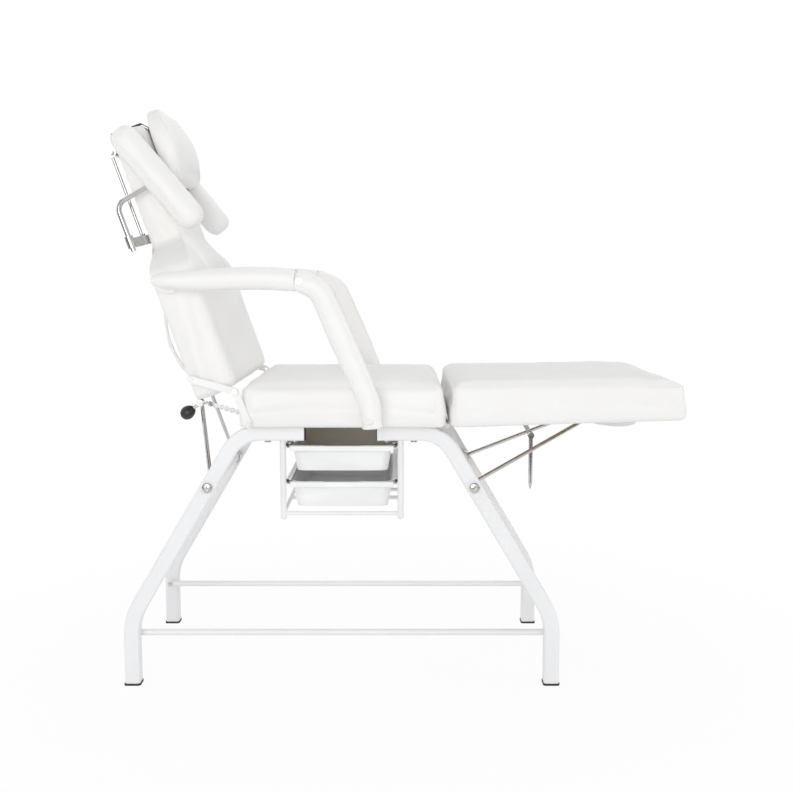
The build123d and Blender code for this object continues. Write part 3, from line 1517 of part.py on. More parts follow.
strap_low = pillow_start_along - pillow_travel
strap_front = head_front_out + head_crown
strap_top = back_top_along + sheet_gap
strap_rear = rear_out - sheet_gap
strap_bend = back_top_along - cushion_roll
with BuildPart() as pillow_straps:
    for side in sides:
        with BuildSketch(at_y(back_side, side * strap_y)):
            with BuildLine():
                Polyline(
                    (strap_low, strap_front),
                    (strap_bend, strap_front),
                    (strap_top, strap_front - cushion_roll),
                    (strap_top, strap_rear),
                    (strap_top - strap_tail, strap_rear),
                    (strap_top - strap_tail, strap_rear - strap_thickness),
                    (strap_top + strap_thickness, strap_rear - strap_thickness),
                    (strap_top + strap_thickness, strap_front - cushion_roll + strap_thickness / 2),
                    (strap_bend + strap_thickness / 2, strap_front + strap_thickness),
                    (strap_low, strap_front + strap_thickness),
                    close=True,
                )
            make_face()
        extrude(amount=strap_width / 2, both=True)
save(pillow_straps.part, "pillow_straps")

# Bolsters: two padded wings on bent tubes that swing out in sockets behind the head part
lean_back = radians(back_lean + bolster_tilt)
bolster_up = Vector(-sin(lean_back), 0, cos(lean_back))
bolster_front = Vector(cos(lean_back), 0, sin(lean_back))
# Along and size shares of the slices through a bolster
bolster_shares = (
    (0.0, 0.5),
    (0.012, 0.68),
    (0.035, 0.81),
    (0.08, 0.92),
    (0.16, 0.98),
    (0.5, 1.0),
    (0.84, 0.98),
    (0.92, 0.92),
    (0.965, 0.81),
    (0.988, 0.68),
    (1.0, 0.5),
)
socket_top = bolster_socket_along + bolster_socket_length
stub_end_along = bolster_socket_along - bolster_stub_below
for side in sides:
    side_name = side_names[side]
    middle = back_point(bolster_along, bolster_out, side * bolster_y)
    low_end = middle - bolster_up * (bolster_length / 2)
    base = Plane(origin=low_end, x_dir=bolster_up, z_dir=bolster_front)
    bolster_slices = []
    for along_share, size_share in bolster_shares:
        bolster_slices.append(
            oval_slice(
                slice_plane(base, bolster_length * along_share),
                bolster_half_width * size_share,
                bolster_thickness / 2 * size_share,
            )
        )
    plate_origin = middle - bolster_front * (bolster_thickness / 2 - bolster_plate_sink)
    tube_end = plate_origin - Vector(0, side * (bolster_plate_width / 4), 0)
    tube = bent_rod(
        (
            back_point(stub_end_along, bolster_socket_out, side * bolster_socket_y),
            back_point(bolster_elbow_along, bolster_socket_out, side * bolster_socket_y),
            tube_end,
        ),
        bolster_tube_radius,
        [bolster_elbow_radius],
    )
    with BuildPart() as bolster_arm:
        add(tube)
        with BuildSketch(Plane(origin=plate_origin, x_dir=bolster_up, z_dir=bolster_front)):
            RectangleRounded(bolster_plate_length, bolster_plate_width, board_inset)
        extrude(amount=plate_thickness)
        collar = back_point(socket_top + hinge_washer, bolster_socket_out, side * bolster_socket_y)
        with BuildSketch(Plane(origin=collar, z_dir=up_back)):
            Circle(bolster_socket_radius)
        extrude(amount=bolster_collar_height)
    save(bolster_arm.part, f"bolster_arm_{side_name}")
    with BuildPart() as bolster_pad:
        add(lofted(bolster_slices, ruled=True))
        add(bolster_arm.part, mode=Mode.SUBTRACT)
    save(bolster_pad.part, f"bolster_pad_{side_name}")

with BuildPart() as bolster_sockets:
    for side in sides:
        hinge_base = Plane(origin=back_point(0, 0), x_dir=up_back, z_dir=out_back)
        socket_plane = slice_plane(hinge_base, bolster_socket_along)
        plate_middle = (bolster_plate_start + bolster_plate_end) / 2
        with BuildSketch(socket_plane):
            with Locations((-side * plate_middle, rear_out - plate_thickness / 2)):
                Rectangle(bolster_plate_end - bolster_plate_start, plate_thickness)
            with Locations((-side * bolster_socket_y, bolster_socket_out)):
                Circle(bolster_socket_radius)
            with BuildLine():
                Polyline(
                    (-side * (bolster_plate_end - plate_thickness), rear_out - plate_thickness / 2),
                    (-side * bolster_plate_end, rear_out - plate_thickness / 2),
                    (-side * (bolster_socket_y + plate_thickness), bolster_socket_out),
                    (-side * (bolster_socket_y - plate_thickness), bolster_socket_out),
                    close=True,
                )
            make_face()
            with Locations((-side * bolster_socket_y, bolster_socket_out)):
                Circle(bolster_tube_radius + hinge_fit, mode=Mode.SUBTRACT)
        extrude(amount=bolster_socket_length)
save(bolster_sockets.part, "bolster_sockets")

# Paper roll holder: a bent wire with two cradles, hinged behind the head part, and its bar
rod_end_along = roll_hook_along - roll_hook_radius
wire = bent_rod(
    (
        back_point(rod_end_along, roll_wire_out, -roll_arm_y),
        back_point(roll_pivot_along, roll_wire_out, -roll_arm_y),
        back_point(roll_pivot_along, roll_wire_out, roll_arm_y),
        back_point(rod_end_along, roll_wire_out, roll_arm_y),
    ),
    roll_wire_radius,
    [roll_corner_radius, roll_corner_radius],
)
with BuildPart() as roll_holder:
    add(wire)
    for side in sides:
        with BuildSketch(at_y(back_side, side * roll_arm_y)):
            with Locations((roll_hook_along, roll_wire_out)):
                Circle(roll_hook_radius + roll_wire_radius)
                Circle(roll_hook_radius - roll_wire_radius, mode=Mode.SUBTRACT)
            with Locations((roll_hook_along + roll_hook_radius, roll_wire_out)):
                Rectangle(2 * roll_wire_radius + roll_hook_radius, roll_hook_radius, mode=Mode.SUBTRACT)
        extrude(amount=roll_wire_radius, both=True)
save(roll_holder.part, "roll_holder")

with BuildPart() as roll_brackets:
    for side in sides:
        with BuildSketch(at_y(back_side, side * roll_lug_y)):
            with Locations((roll_pivot_along, roll_wire_out)):
                Circle(roll_lug_radius)
            with Locations((roll_pivot_along, rear_out - plate_thickness / 2)):
                Rectangle(roll_bracket_length, plate_thickness)
            make_hull()
            with Locations((roll_pivot_along, roll_wire_out)):
                Circle(roll_wire_radius + hinge_fit, mode=Mode.SUBTRACT)
        extrude(amount=roll_bracket_width / 2, both=True)
save(roll_brackets.part, "roll_holder_brackets")

bar_drop = roll_hook_radius - roll_wire_radius - roll_bar_radius - hinge_fit
bar_point = back_point(roll_hook_along - bar_drop, roll_wire_out)
with BuildPart() as roll_bar:
    with BuildSketch(across(bar_point.X, bar_point.Z, 0)):
        Circle(roll_bar_radius)
    extrude(amount=roll_arm_y + roll_bar_overhang, both=True)
    for side in sides:
        with BuildSketch(across(bar_point.X, bar_point.Z, side * (roll_arm_y + roll_bar_overhang))):
            Circle(roll_bar_radius + skin_round)
        extrude(amount=side * plate_thickness)
save(roll_bar.part, "roll_bar")
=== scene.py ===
"""Dressed model of an adjustable padded chair on bent tube legs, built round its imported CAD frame."""

import json
import logging
import math
from dataclasses import dataclass
from enum import Enum
from typing import Callable, Iterable, Sequence

import bmesh
import bpy
import numpy as np
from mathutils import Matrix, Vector, noise
from mathutils.bvhtree import BVHTree


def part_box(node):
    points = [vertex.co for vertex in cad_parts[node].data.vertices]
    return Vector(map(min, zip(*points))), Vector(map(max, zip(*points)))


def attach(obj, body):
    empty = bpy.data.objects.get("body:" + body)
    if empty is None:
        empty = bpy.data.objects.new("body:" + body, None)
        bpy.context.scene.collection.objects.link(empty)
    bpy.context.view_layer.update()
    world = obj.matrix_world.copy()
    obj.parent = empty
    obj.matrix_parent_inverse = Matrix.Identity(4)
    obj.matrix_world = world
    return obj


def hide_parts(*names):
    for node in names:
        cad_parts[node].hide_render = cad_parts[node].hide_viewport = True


LOG = logging.getLogger("chair")
logging.basicConfig(level=logging.INFO, format="%(message)s")

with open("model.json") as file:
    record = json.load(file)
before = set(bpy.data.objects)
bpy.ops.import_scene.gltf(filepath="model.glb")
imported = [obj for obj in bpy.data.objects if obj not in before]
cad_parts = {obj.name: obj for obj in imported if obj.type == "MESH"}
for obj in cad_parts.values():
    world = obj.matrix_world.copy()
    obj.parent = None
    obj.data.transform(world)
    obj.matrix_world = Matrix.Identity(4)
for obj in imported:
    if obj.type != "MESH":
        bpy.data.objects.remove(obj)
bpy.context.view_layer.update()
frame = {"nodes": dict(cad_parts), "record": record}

Triple = tuple[float, float, float]
Profile = list[tuple[float, float]]
Ring = list[Vector]


# Node trees


class Value:
    """A socket that can be used in sums."""

    def __init__(self, graph: "Graph", socket: bpy.types.NodeSocket | None) -> None:
        """Keeps the socket and the graph that it belongs to."""
        self.graph = graph
        self.socket = socket

    def _maths(self, operation: str, first: "Value | float", second: "Value | float") -> "Value":
        """One Math node over two values."""
        return self.graph.node("ShaderNodeMath", {"operation": operation}, {0: first, 1: second})

    def __add__(self, other: "Value | float") -> "Value":
        """This value plus another."""
        return self._maths("ADD", self, other)

    def __radd__(self, other: float) -> "Value":
        """A number plus this value."""
        return self._maths("ADD", other, self)

    def __sub__(self, other: "Value | float") -> "Value":
        """This value less another."""
        return self._maths("SUBTRACT", self, other)

    def __rsub__(self, other: float) -> "Value":
        """A number less this value."""
        return self._maths("SUBTRACT", other, self)

    def __mul__(self, other: "Value | float") -> "Value":
        """This value times another."""
        return self._maths("MULTIPLY", self, other)

    def __rmul__(self, other: float) -> "Value":
        """A number times this value."""
        return self._maths("MULTIPLY", other, self)

    def largest(self, other: "Value | float") -> "Value":
        """The larger of two values."""
        return self._maths("MAXIMUM", self, other)

    def ramp(self, low: float, high: float) -> "Value":
        """0 below low, 1 above high, smooth between.

        Args:
            low: the value that gives 0.
            high: the value that gives 1.

        Returns:
            The mapped value.
        """
        return self.graph.node(
            "ShaderNodeMapRange",
            {"interpolation_type": "SMOOTHSTEP"},
            {"Value": self, "From Min": low, "From Max": high},
        )


class Graph:
    """Fills one node tree."""

    def __init__(self, tree: bpy.types.NodeTree) -> None:
        """Empties the tree."""
        self.tree = tree
        self.tree.nodes.clear()

    def node(
        self, kind: str, settings: dict | None = None, inputs: dict | None = None, out: int | str = 0
    ) -> Value:
        """Adds one node.

        Args:
            kind: the node's type name.
            settings: attributes to set on it.
            inputs: socket name or number to a Value or a constant.
            out: the output that is wanted.

        Returns:
            That output as a Value.
        """
        made = self.tree.nodes.new(kind)
        for key, value in (settings or {}).items():
            setattr(made, key, value)
        for key, value in (inputs or {}).items():
            if isinstance(value, Value):
                self.tree.links.new(value.socket, made.inputs[key])
            else:
                made.inputs[key].default_value = value
        return Value(self, made.outputs[out] if len(made.outputs) else None)

    def beside(self, value: Value, out: int | str) -> Value:
        """Another output of the node that a value comes from."""
        return Value(self, value.socket.node.outputs[out])

    def seen_rays(self) -> Value:
        """1 on rays from the camera, off gloss and through glass; 0 on rays that only bring light.

        Returns:
            The mask.
        """
        camera = self.node("ShaderNodeLightPath", out="Is Camera Ray")
        seen = camera
        for kind in ("Is Glossy Ray", "Is Transmission Ray"):
            seen = seen.largest(self.beside(camera, kind))
        return seen


class MaterialGraph(Graph):
    """Builds a material's nodes."""

    def __init__(self, name: str) -> None:
        """Starts an empty material."""
        self.material = bpy.data.materials.new(name)
        self.material.use_nodes = True
        super().__init__(self.material.node_tree)

    def coordinates(self) -> Value:
        """Object coordinates, in metres."""
        return self.node("ShaderNodeTexCoord", out="Object")

    def stretched(self, scale: Triple) -> Value:
        """Object coordinates scaled by axis."""
        return self.node("ShaderNodeMapping", None, {"Vector": self.coordinates(), "Scale": scale})

    def noise(
        self, scale: float, detail: float = 3.0, rough: float = 0.5, vector: Value | None = None
    ) -> Value:
        """A fractal noise value.

        Args:
            scale: waves per metre.
            detail: how many finer layers are added.
            rough: how strong the finer layers are.
            vector: the coordinates, or None for the object's own.

        Returns:
            The noise, from 0 to 1.
        """
        place = vector or self.coordinates()
        inputs = {"Vector": place, "Scale": scale, "Detail": detail, "Roughness": rough}
        return self.node("ShaderNodeTexNoise", None, inputs)

    def waves(self, direction: str, scale: float, distortion: float) -> Value:
        """Even bands along one axis."""
        inputs = {"Vector": self.coordinates(), "Scale": scale, "Distortion": distortion}
        return self.node("ShaderNodeTexWave", {"bands_direction": direction}, inputs, out=1)

    def blend(self, factor: Value, first: Sequence[float], second: Sequence[float]) -> Value:
        """A colour between two colours."""
        inputs = {0: factor, 6: (*first, 1.0), 7: (*second, 1.0)}
        return self.node("ShaderNodeMix", {"data_type": "RGBA"}, inputs, out=2)

    def bump(self, height: Value, strength: float, distance: float, under: Value | None = None) -> Value:
        """A bumped normal.

        Args:
            height: the height map.
            strength: how strongly it shows, from 0 to 1.
            distance: the height of its largest step, in metres.
            under: a bumped normal that this one is laid over.

        Returns:
            The normal.
        """
        inputs: dict = {"Height": height, "Strength": strength, "Distance": distance}
        if under is not None:
            inputs["Normal"] = under
        return self.node("ShaderNodeBump", None, inputs)

    def ended(self, shader: Value) -> bpy.types.Material:
        """Ends the graph in a shader and hands over the finished material."""
        self.node("ShaderNodeOutputMaterial", None, {"Surface": shader})
        return self.material

    def surface(self, **inputs: "Value | float | tuple") -> bpy.types.Material:
        """Ends the graph in a principled surface.

        Args:
            inputs: the shader's inputs, with _ for a space.

        Returns:
            The finished material.
        """
        named = {key.replace("_", " "): value for key, value in inputs.items()}
        return self.ended(self.node("ShaderNodeBsdfPrincipled", None, named))


# Finishes


@dataclass(frozen=True)
class Leather:
    """Soft coated leather: fine pebble grain, faint creases, a slow change of tone."""

    name: str
    tone: Triple
    warm_tone: Triple
    grain_scale: float = 950.0
    grain_depth: float = 0.2
    crease_scale: float = 34.0
    crease_depth: float = 0.22
    swell_scale: float = 14.0
    swell_depth: float = 0.22
    roughness: float = 0.46

    def make(self) -> bpy.types.Material:
        """Builds the material.

        Returns:
            The finished material.
        """
        graph = MaterialGraph(self.name)
        cells = graph.node(
            "ShaderNodeTexVoronoi",
            {"feature": "SMOOTH_F1"},
            {"Vector": graph.coordinates(), "Scale": self.grain_scale, "Smoothness": 0.4, "Randomness": 0.9},
        )
        pores = graph.noise(self.grain_scale * 2.2, 2.0)
        drift = graph.noise(7.0, 3.0)
        folds = graph.noise(self.crease_scale, 5.0, 0.55, graph.stretched((1.0, 0.7, 1.3)))
        ridge = (folds - 0.5) * (folds - 0.5) * -60.0 + 1.0
        creases = ridge.largest(0.0) * graph.noise(11.0, 2.0).ramp(0.5, 0.72)
        normal = graph.bump(graph.noise(self.swell_scale, 2.0), self.swell_depth, 0.004)
        normal = graph.bump(creases, self.crease_depth, 0.0009, normal)
        normal = graph.bump(cells * -1.0 + pores * 0.3, self.grain_depth, 0.0005, normal)
        return graph.surface(
            Base_Color=graph.blend(drift.ramp(0.3, 0.75), self.tone, self.warm_tone),
            Roughness=self.roughness + (pores - 0.5) * 0.16 + creases * 0.06,
            Coat_Weight=0.08,
            Coat_Roughness=0.35,
            Sheen_Weight=0.05,
            Normal=normal,
        )


@dataclass(frozen=True)
class Paint:
    """Satin powder coat with a faint orange peel and slightly duller worn places."""

    name: str
    tone: Triple
    roughness: float = 0.33
    peel_scale: float = 420.0
    peel_depth: float = 0.012
    wear_scale: float = 60.0
    shade: float = 0.965

    def make(self) -> bpy.types.Material:
        """Builds the material.

        Returns:
            The finished material.
        """
        graph = MaterialGraph(self.name)
        peel = graph.noise(self.peel_scale, 2.0)
        drift = graph.noise(5.0, 2.0)
        worn = graph.noise(self.wear_scale, 4.0).ramp(0.62, 0.8)
        darker = tuple(channel * self.shade for channel in self.tone)
        return graph.surface(
            Base_Color=graph.blend(drift.ramp(0.3, 0.8), self.tone, darker),
            Roughness=self.roughness + (peel - 0.5) * 0.04 + worn * 0.04,
            Coat_Weight=0.15,
            Coat_Roughness=0.2,
            Normal=graph.bump(peel, self.peel_depth, 0.0005),
        )


@dataclass(frozen=True)
class Metal:
    """Plated or brushed metal; streaks run along one axis."""

    name: str
    tone: Triple
    roughness: float
    streak: Triple = (40.0, 40.0, 900.0)
    streak_depth: float = 0.08
    haze_scale: float = 26.0
    haze_shade: float = 0.8

    def make(self) -> bpy.types.Material:
        """Builds the material.

        Returns:
            The finished material.
        """
        graph = MaterialGraph(self.name)
        lines = graph.noise(1.0, 3.0, 0.6, graph.stretched(self.streak))
        haze = graph.noise(self.haze_scale, 3.0)
        dull = tuple(channel * self.haze_shade for channel in self.tone)
        return graph.surface(
            Base_Color=graph.blend(haze.ramp(0.45, 0.85), self.tone, dull),
            Metallic=1.0,
            Roughness=self.roughness + (lines - 0.5) * self.streak_depth + haze * 0.04,
            Normal=graph.bump(lines, 0.05, 0.0003),
        )


@dataclass(frozen=True)
class Moulded:
    """Moulded plastic or rubber with a fine spark texture and faint flow marks."""

    name: str
    tone: Triple
    roughness: float
    texture_scale: float = 1400.0
    texture_depth: float = 0.14

    def make(self) -> bpy.types.Material:
        """Builds the material.

        Returns:
            The finished material.
        """
        graph = MaterialGraph(self.name)
        spark = graph.noise(self.texture_scale, 2.0)
        flow = graph.noise(9.0, 2.0, 0.5, graph.stretched((1.0, 1.0, 3.0)))
        other = tuple(min(1.0, channel * 1.06 + 0.004) for channel in self.tone)
        return graph.surface(
            Base_Color=graph.blend(flow.ramp(0.35, 0.75), self.tone, other),
            Roughness=self.roughness + (flow - 0.5) * 0.1 + (spark - 0.5) * 0.1,
            Normal=graph.bump(spark, self.texture_depth, 0.0003),
        )


@dataclass(frozen=True)
class Webbing:
    """Narrow woven tape; its threads repeat at one pitch, in metres."""

    name: str
    tone: Triple
    pitch: float = 0.0012

    def make(self) -> bpy.types.Material:
        """Builds the material.

        Returns:
            The finished material.
        """
        graph = MaterialGraph(self.name)
        scale = 1.0 / self.pitch
        weave = graph.waves("Y", scale / 20, 0.4).largest(graph.waves("Z", scale / 16, 0.4))
        fuzz = graph.noise(scale * 3, 2.0)
        light = tuple(channel * 1.8 + 0.01 for channel in self.tone)
        return graph.surface(
            Base_Color=graph.blend(weave * 0.6 + fuzz * 0.3, self.tone, light),
            Roughness=0.75 + fuzz * 0.15,
            Sheen_Weight=0.2,
            Normal=graph.bump(weave + fuzz * 0.3, 0.5, 0.0006),
        )


@dataclass(frozen=True)
class Plywood:
    """Plain board: long grain on its faces and layers at its edges."""

    name: str
    tone: Triple
    dark: Triple
    grain_scale: Triple = (150.0, 6.0, 150.0)
    grain_depth: float = 0.06
    layer_scale: float = 60.0

    def make(self) -> bpy.types.Material:
        """Builds the material.

        Returns:
            The finished material.
        """
        graph = MaterialGraph(self.name)
        grain = graph.noise(1.0, 5.0, 0.62, graph.stretched(self.grain_scale))
        mix = grain.ramp(0.35, 0.7) * 0.7 + graph.waves("Z", self.layer_scale, 0.6) * 0.15
        return graph.surface(
            Base_Color=graph.blend(mix, self.tone, self.dark),
            Roughness=0.62 + grain * 0.15,
            Normal=graph.bump(grain, self.grain_depth, 0.0004),
        )


@dataclass(frozen=True)
class Thread:
    """Twisted sewing thread."""

    name: str
    tone: Triple
    twist_scale: float = 2600.0

    def make(self) -> bpy.types.Material:
        """Builds the material.

        Returns:
            The finished material.
        """
        graph = MaterialGraph(self.name)
        twist = graph.noise(self.twist_scale, 2.0)
        pale = tuple(min(1.0, channel * 1.08) for channel in self.tone)
        return graph.surface(
            Base_Color=graph.blend(twist, self.tone, pale),
            Roughness=0.6 + twist * 0.15,
            Normal=graph.bump(twist, 0.3, 0.0002),
        )


class Slot(Enum):
    """The record's material slots."""

    LEATHER = "white_leather"
    PAINT = "white_paint"
    CHROME = "chrome"
    STEEL = "bright_steel"
    BLACK = "black_plastic"
    RUBBER = "black_rubber"
    WEBBING = "black_webbing"
    PLASTIC = "white_plastic"
    PLYWOOD = "plywood"


WHITE = (0.89, 0.882, 0.868)
WARM_WHITE = (0.875, 0.862, 0.84)
FINISHES = {
    Slot.LEATHER: Leather("soft white leather", WHITE, WARM_WHITE),
    Slot.PAINT: Paint("white powder coat", (0.87, 0.873, 0.885)),
    Slot.CHROME: Metal("polished chrome", (0.6, 0.59, 0.58), 0.1),
    Slot.STEEL: Metal("zinc plated steel", (0.56, 0.545, 0.52), 0.2, streak_depth=0.06),
    Slot.BLACK: Moulded("black plastic", (0.022, 0.022, 0.024), 0.42),
    Slot.RUBBER: Moulded("black rubber", (0.02, 0.02, 0.02), 0.7, 700.0, 0.3),
    Slot.WEBBING: Webbing("black webbing", (0.018, 0.018, 0.02)),
    Slot.PLASTIC: Moulded("white drawer plastic", (0.885, 0.887, 0.89), 0.36, 1800.0, 0.06),
    Slot.PLYWOOD: Plywood("board", (0.52, 0.4, 0.27), (0.43, 0.32, 0.2)),
}
THREAD = Thread("white thread", (0.83, 0.82, 0.8))
CREAM_PAINT = Paint("cream powder coat", (0.885, 0.877, 0.862), 0.42)
CREAM_NODES = ("seat_side_plates", "back_side_plates", "back_side_screws")


class Palette:
    """Makes each finish once."""

    def __init__(self) -> None:
        """Makes the slots' finishes, the thread's and the second paint's."""
        self.made = {slot: finish.make() for slot, finish in FINISHES.items()}
        self.thread = THREAD.make()
        self.cream = CREAM_PAINT.make()

    def dress_frame(self) -> None:
        """Gives every CAD node its slot's finish."""
        slots = {part["node"]: part["material_slot"] for part in frame["record"]["subparts"]}
        for name, body in frame["nodes"].items():
            body.data.materials.clear()
            body.data.materials.append(self.cream if name in CREAM_NODES else self.made[Slot(slots[name])])
        LOG.info("dressed %d frame pieces", len(frame["nodes"]))


# Soft forms


@dataclass(frozen=True)
class Axes:
    """A local frame: a place is given along, across and up, in metres."""

    origin: Vector
    along: Vector
    across: Vector
    up: Vector

    def at(self, along: float, across: float, up: float) -> Vector:
        """The point at three local distances."""
        return self.origin + self.along * along + self.across * across + self.up * up


def evenly(points: Profile, count: int) -> Profile:
    """Resamples a closed outline evenly.

    Args:
        points: the outline, without its first point repeated.
        count: how many points are wanted.

    Returns:
        The even outline, starting at the same point.
    """
    loop = np.array(points + points[:1])
    steps = np.hypot(*np.diff(loop, axis=0).T)
    run = np.concatenate([[0.0], np.cumsum(steps)])
    wanted = np.linspace(0.0, run[-1], count, endpoint=False)
    return list(zip(np.interp(wanted, run, loop[:, 0]), np.interp(wanted, run, loop[:, 1])))


def arc(centre: tuple[float, float], radius: float, start: float, end: float, count: int) -> Profile:
    """Points of an arc between two angles in degrees."""
    angles = [math.radians(start + (end - start) * i / count) for i in range(count + 1)]
    return [(centre[0] + radius * math.cos(a), centre[1] + radius * math.sin(a)) for a in angles]


def eased(share: float) -> float:
    """A smooth step from 0 to 1."""
    held = min(1.0, max(0.0, share))
    return held * held * (3.0 - 2.0 * held)


def turned(distance: float, radius: float) -> float:
    """How far a round corner has turned in: 1 at its end, 0 from its radius on."""
    turn = max(0.0, 1.0 - distance / radius)
    return 1.0 - math.sqrt(max(0.0, 1.0 - turn * turn))


def filled(value: float, power: float) -> float:
    """A sine or cosine with its sign kept; a power under 1 makes a circle squarer."""
    return math.copysign(abs(value) ** power, value)


def stations(start: float, end: float, near: Sequence[float], inset: float, count: int) -> list[float]:
    """Places of slices between two ends.

    Args:
        start: the first end.
        end: the other end.
        near: distances from either end where the slices are close together.
        inset: distance from either end where the even slices begin.
        count: how many even slices are wanted.

    Returns:
        The places, in order.
    """
    inner = np.linspace(start + inset, end - inset, count)
    return [start + d for d in near] + list(inner) + [end - d for d in reversed(near)]


@dataclass(frozen=True)
class Section:
    """One slice through a cushion, in metres; its underside may be sunk inside a border."""

    half: float
    edge: float
    crown: float
    low: float = 0.0
    recess: float = 0.0
    shoulder: float = 0.018
    tuck: float = 0.009
    bulge: float = 0.003
    border: float = 0.034
    border_step: float = 0.0015
    border_lip: float = 0.008
    shoulder_end: float = 78.0
    crown_power: float = 2.3

    def outline(self, count: int) -> Profile:
        """The slice's outline, from the middle of its underside.

        Args:
            count: how many points are wanted.

        Returns:
            The closed outline.
        """
        right: Profile = [(0.0, self.low + self.recess)]
        if self.recess > 0.0:
            inside = self.half - self.border
            right += [(inside * i / 4, self.low + self.recess) for i in range(1, 5)]
            right += [(inside + self.border_step, self.low), (inside + self.border_lip, self.low)]
        right += arc((self.half - self.tuck, self.low + self.tuck), self.tuck, -90.0, 0.0, 5)
        side_top = self.edge - self.shoulder
        for i in range(1, 8):
            share = i / 8
            lift = self.low + self.tuck + (side_top - self.low - self.tuck) * share
            right.append((self.half + self.bulge * math.sin(math.pi * share), lift))
        right += arc((self.half - self.shoulder, side_top), self.shoulder, 0.0, self.shoulder_end, 8)
        inner = right[-1][0]
        for i in range(1, 13):
            x = inner * (1.0 - i / 12)
            right.append((x, self._top(x / inner)))
        left = [(-x, z) for x, z in reversed(right[1:-1])]
        return evenly(right + left, count)

    def _top(self, share: float) -> float:
        """Height of the crowned top at a share of its half width."""
        start = self.edge - self.shoulder * (1.0 - math.sin(math.radians(self.shoulder_end)))
        return start + (self.crown + self.edge - start) * (1.0 - abs(share) ** self.crown_power)


def placed(name: str, data: bpy.types.ID) -> bpy.types.Object:
    """A new object in the scene for a mesh, a curve, a lamp or a camera."""
    made = bpy.data.objects.new(name, data)
    bpy.context.scene.collection.objects.link(made)
    return made


def finished(
    mesh: bmesh.types.BMesh, name: str, material: bpy.types.Material | None = None
) -> bpy.types.Object:
    """Turns a working mesh into a smooth object with its faces outward.

    Args:
        mesh: the working mesh, which is freed.
        name: the piece's name.
        material: its finish, or None where it is given later.

    Returns:
        The new object.
    """
    bmesh.ops.recalc_face_normals(mesh, faces=mesh.faces)
    data = bpy.data.meshes.new(name)
    mesh.to_mesh(data)
    mesh.free()
    data.shade_smooth()
    if material is not None:
        data.materials.append(material)
    return placed(name, data)


def baked(line: bpy.types.Object, name: str, material: bpy.types.Material) -> bpy.types.Object:
    """Turns a curve as it is evaluated into a plain smooth mesh and removes the curve.

    Args:
        line: the curve, with its bevel or its modifier.
        name: the new piece's name.
        material: its finish.

    Returns:
        The new object.
    """
    graph = bpy.context.evaluated_depsgraph_get()
    graph.update()
    data = bpy.data.meshes.new_from_object(line.evaluated_get(graph))
    data.name = name
    data.materials.clear()
    data.materials.append(material)
    data.shade_smooth()
    made = placed(name, data)
    bpy.data.objects.remove(line)
    return made


@dataclass
class RingMesh:
    """A closed mesh through rings of equal count, with a soft cap at both ends.

    cap_out is how far the caps' middles stand out, in metres.
    """

    rings: Sequence[Ring]
    cap_out: float = 0.0
    cap_rings: int = 7

    def _join(self, mesh: bmesh.types.BMesh, first: list, second: list, flip: bool) -> None:
        """Fills the band between two rows of vertices.

        Args:
            mesh: the working mesh.
            first: one row of vertices.
            second: the next row.
            flip: whether the faces run the other way round.
        """
        for i in range(len(first)):
            j = (i + 1) % len(first)
            face = (first[i], first[j], second[j], second[i])
            mesh.faces.new(face if not flip else tuple(reversed(face)))

    def _cap(self, mesh: bmesh.types.BMesh, row: list, ring: Ring, outward: Vector, flip: bool) -> None:
        """Closes one end by smaller and smaller rings.

        Args:
            mesh: the working mesh.
            row: the end's vertices.
            ring: the end's places.
            outward: the way out of the piece.
            flip: whether the faces run the other way round.
        """
        middle = sum(ring, Vector()) / len(ring)
        last = row
        for k in range(1, self.cap_rings + 1):
            share = 1.0 - k / (self.cap_rings + 1)
            lift = outward * self.cap_out * (1.0 - share * share)
            fresh = [mesh.verts.new(middle + (p - middle) * share + lift) for p in ring]
            self._join(mesh, last, fresh, flip)
            last = fresh
        tip = mesh.verts.new(middle + outward * self.cap_out)
        for i in range(len(last)):
            a, b = last[i], last[(i + 1) % len(last)]
            mesh.faces.new((a, b, tip) if not flip else (b, a, tip))

    def build(self, name: str) -> bpy.types.Object:
        """Makes the piece.

        Args:
            name: the piece's name.

        Returns:
            The new object.
        """
        mesh = bmesh.new()
        rings = self.rings
        rows: list[list] = [[mesh.verts.new(p) for p in ring] for ring in rings]
        for first, second in zip(rows, rows[1:]):
            self._join(mesh, first, second, False)
        start_out = (sum(rings[0], Vector()) - sum(rings[1], Vector())).normalized()
        end_out = (sum(rings[-1], Vector()) - sum(rings[-2], Vector())).normalized()
        self._cap(mesh, rows[-1], rings[-1], end_out, False)
        self._cap(mesh, rows[0], rings[0], start_out, True)
        return finished(mesh, name)


def coordinates(piece: bpy.types.Object) -> np.ndarray:
    """A piece's vertices as an array."""
    held = np.zeros(len(piece.data.vertices) * 3)
    piece.data.vertices.foreach_get("co", held)
    return held.reshape(-1, 3)


def set_coordinates(piece: bpy.types.Object, places: np.ndarray) -> None:
    """Writes a piece's vertices."""
    piece.data.vertices.foreach_set("co", places.ravel())
    piece.data.update()


@dataclass(frozen=True)
class Hold:
    """Holds a cushion's underside still up to a height, and less and less above it, in metres."""

    axes: Axes
    height: float
    fade: float

    def weights(self, places: np.ndarray) -> np.ndarray:
        """1 where a vertex is held, 0 where it is free."""
        height = (places - np.array(self.axes.origin)) @ np.array(self.axes.up)
        return np.clip(1.0 - (height - self.height) / self.fade, 0.0, 1.0)

    def freedom(self, places: np.ndarray) -> np.ndarray:
        """0 where a vertex is held, 1 where it is free."""
        return 1.0 - self.weights(places)


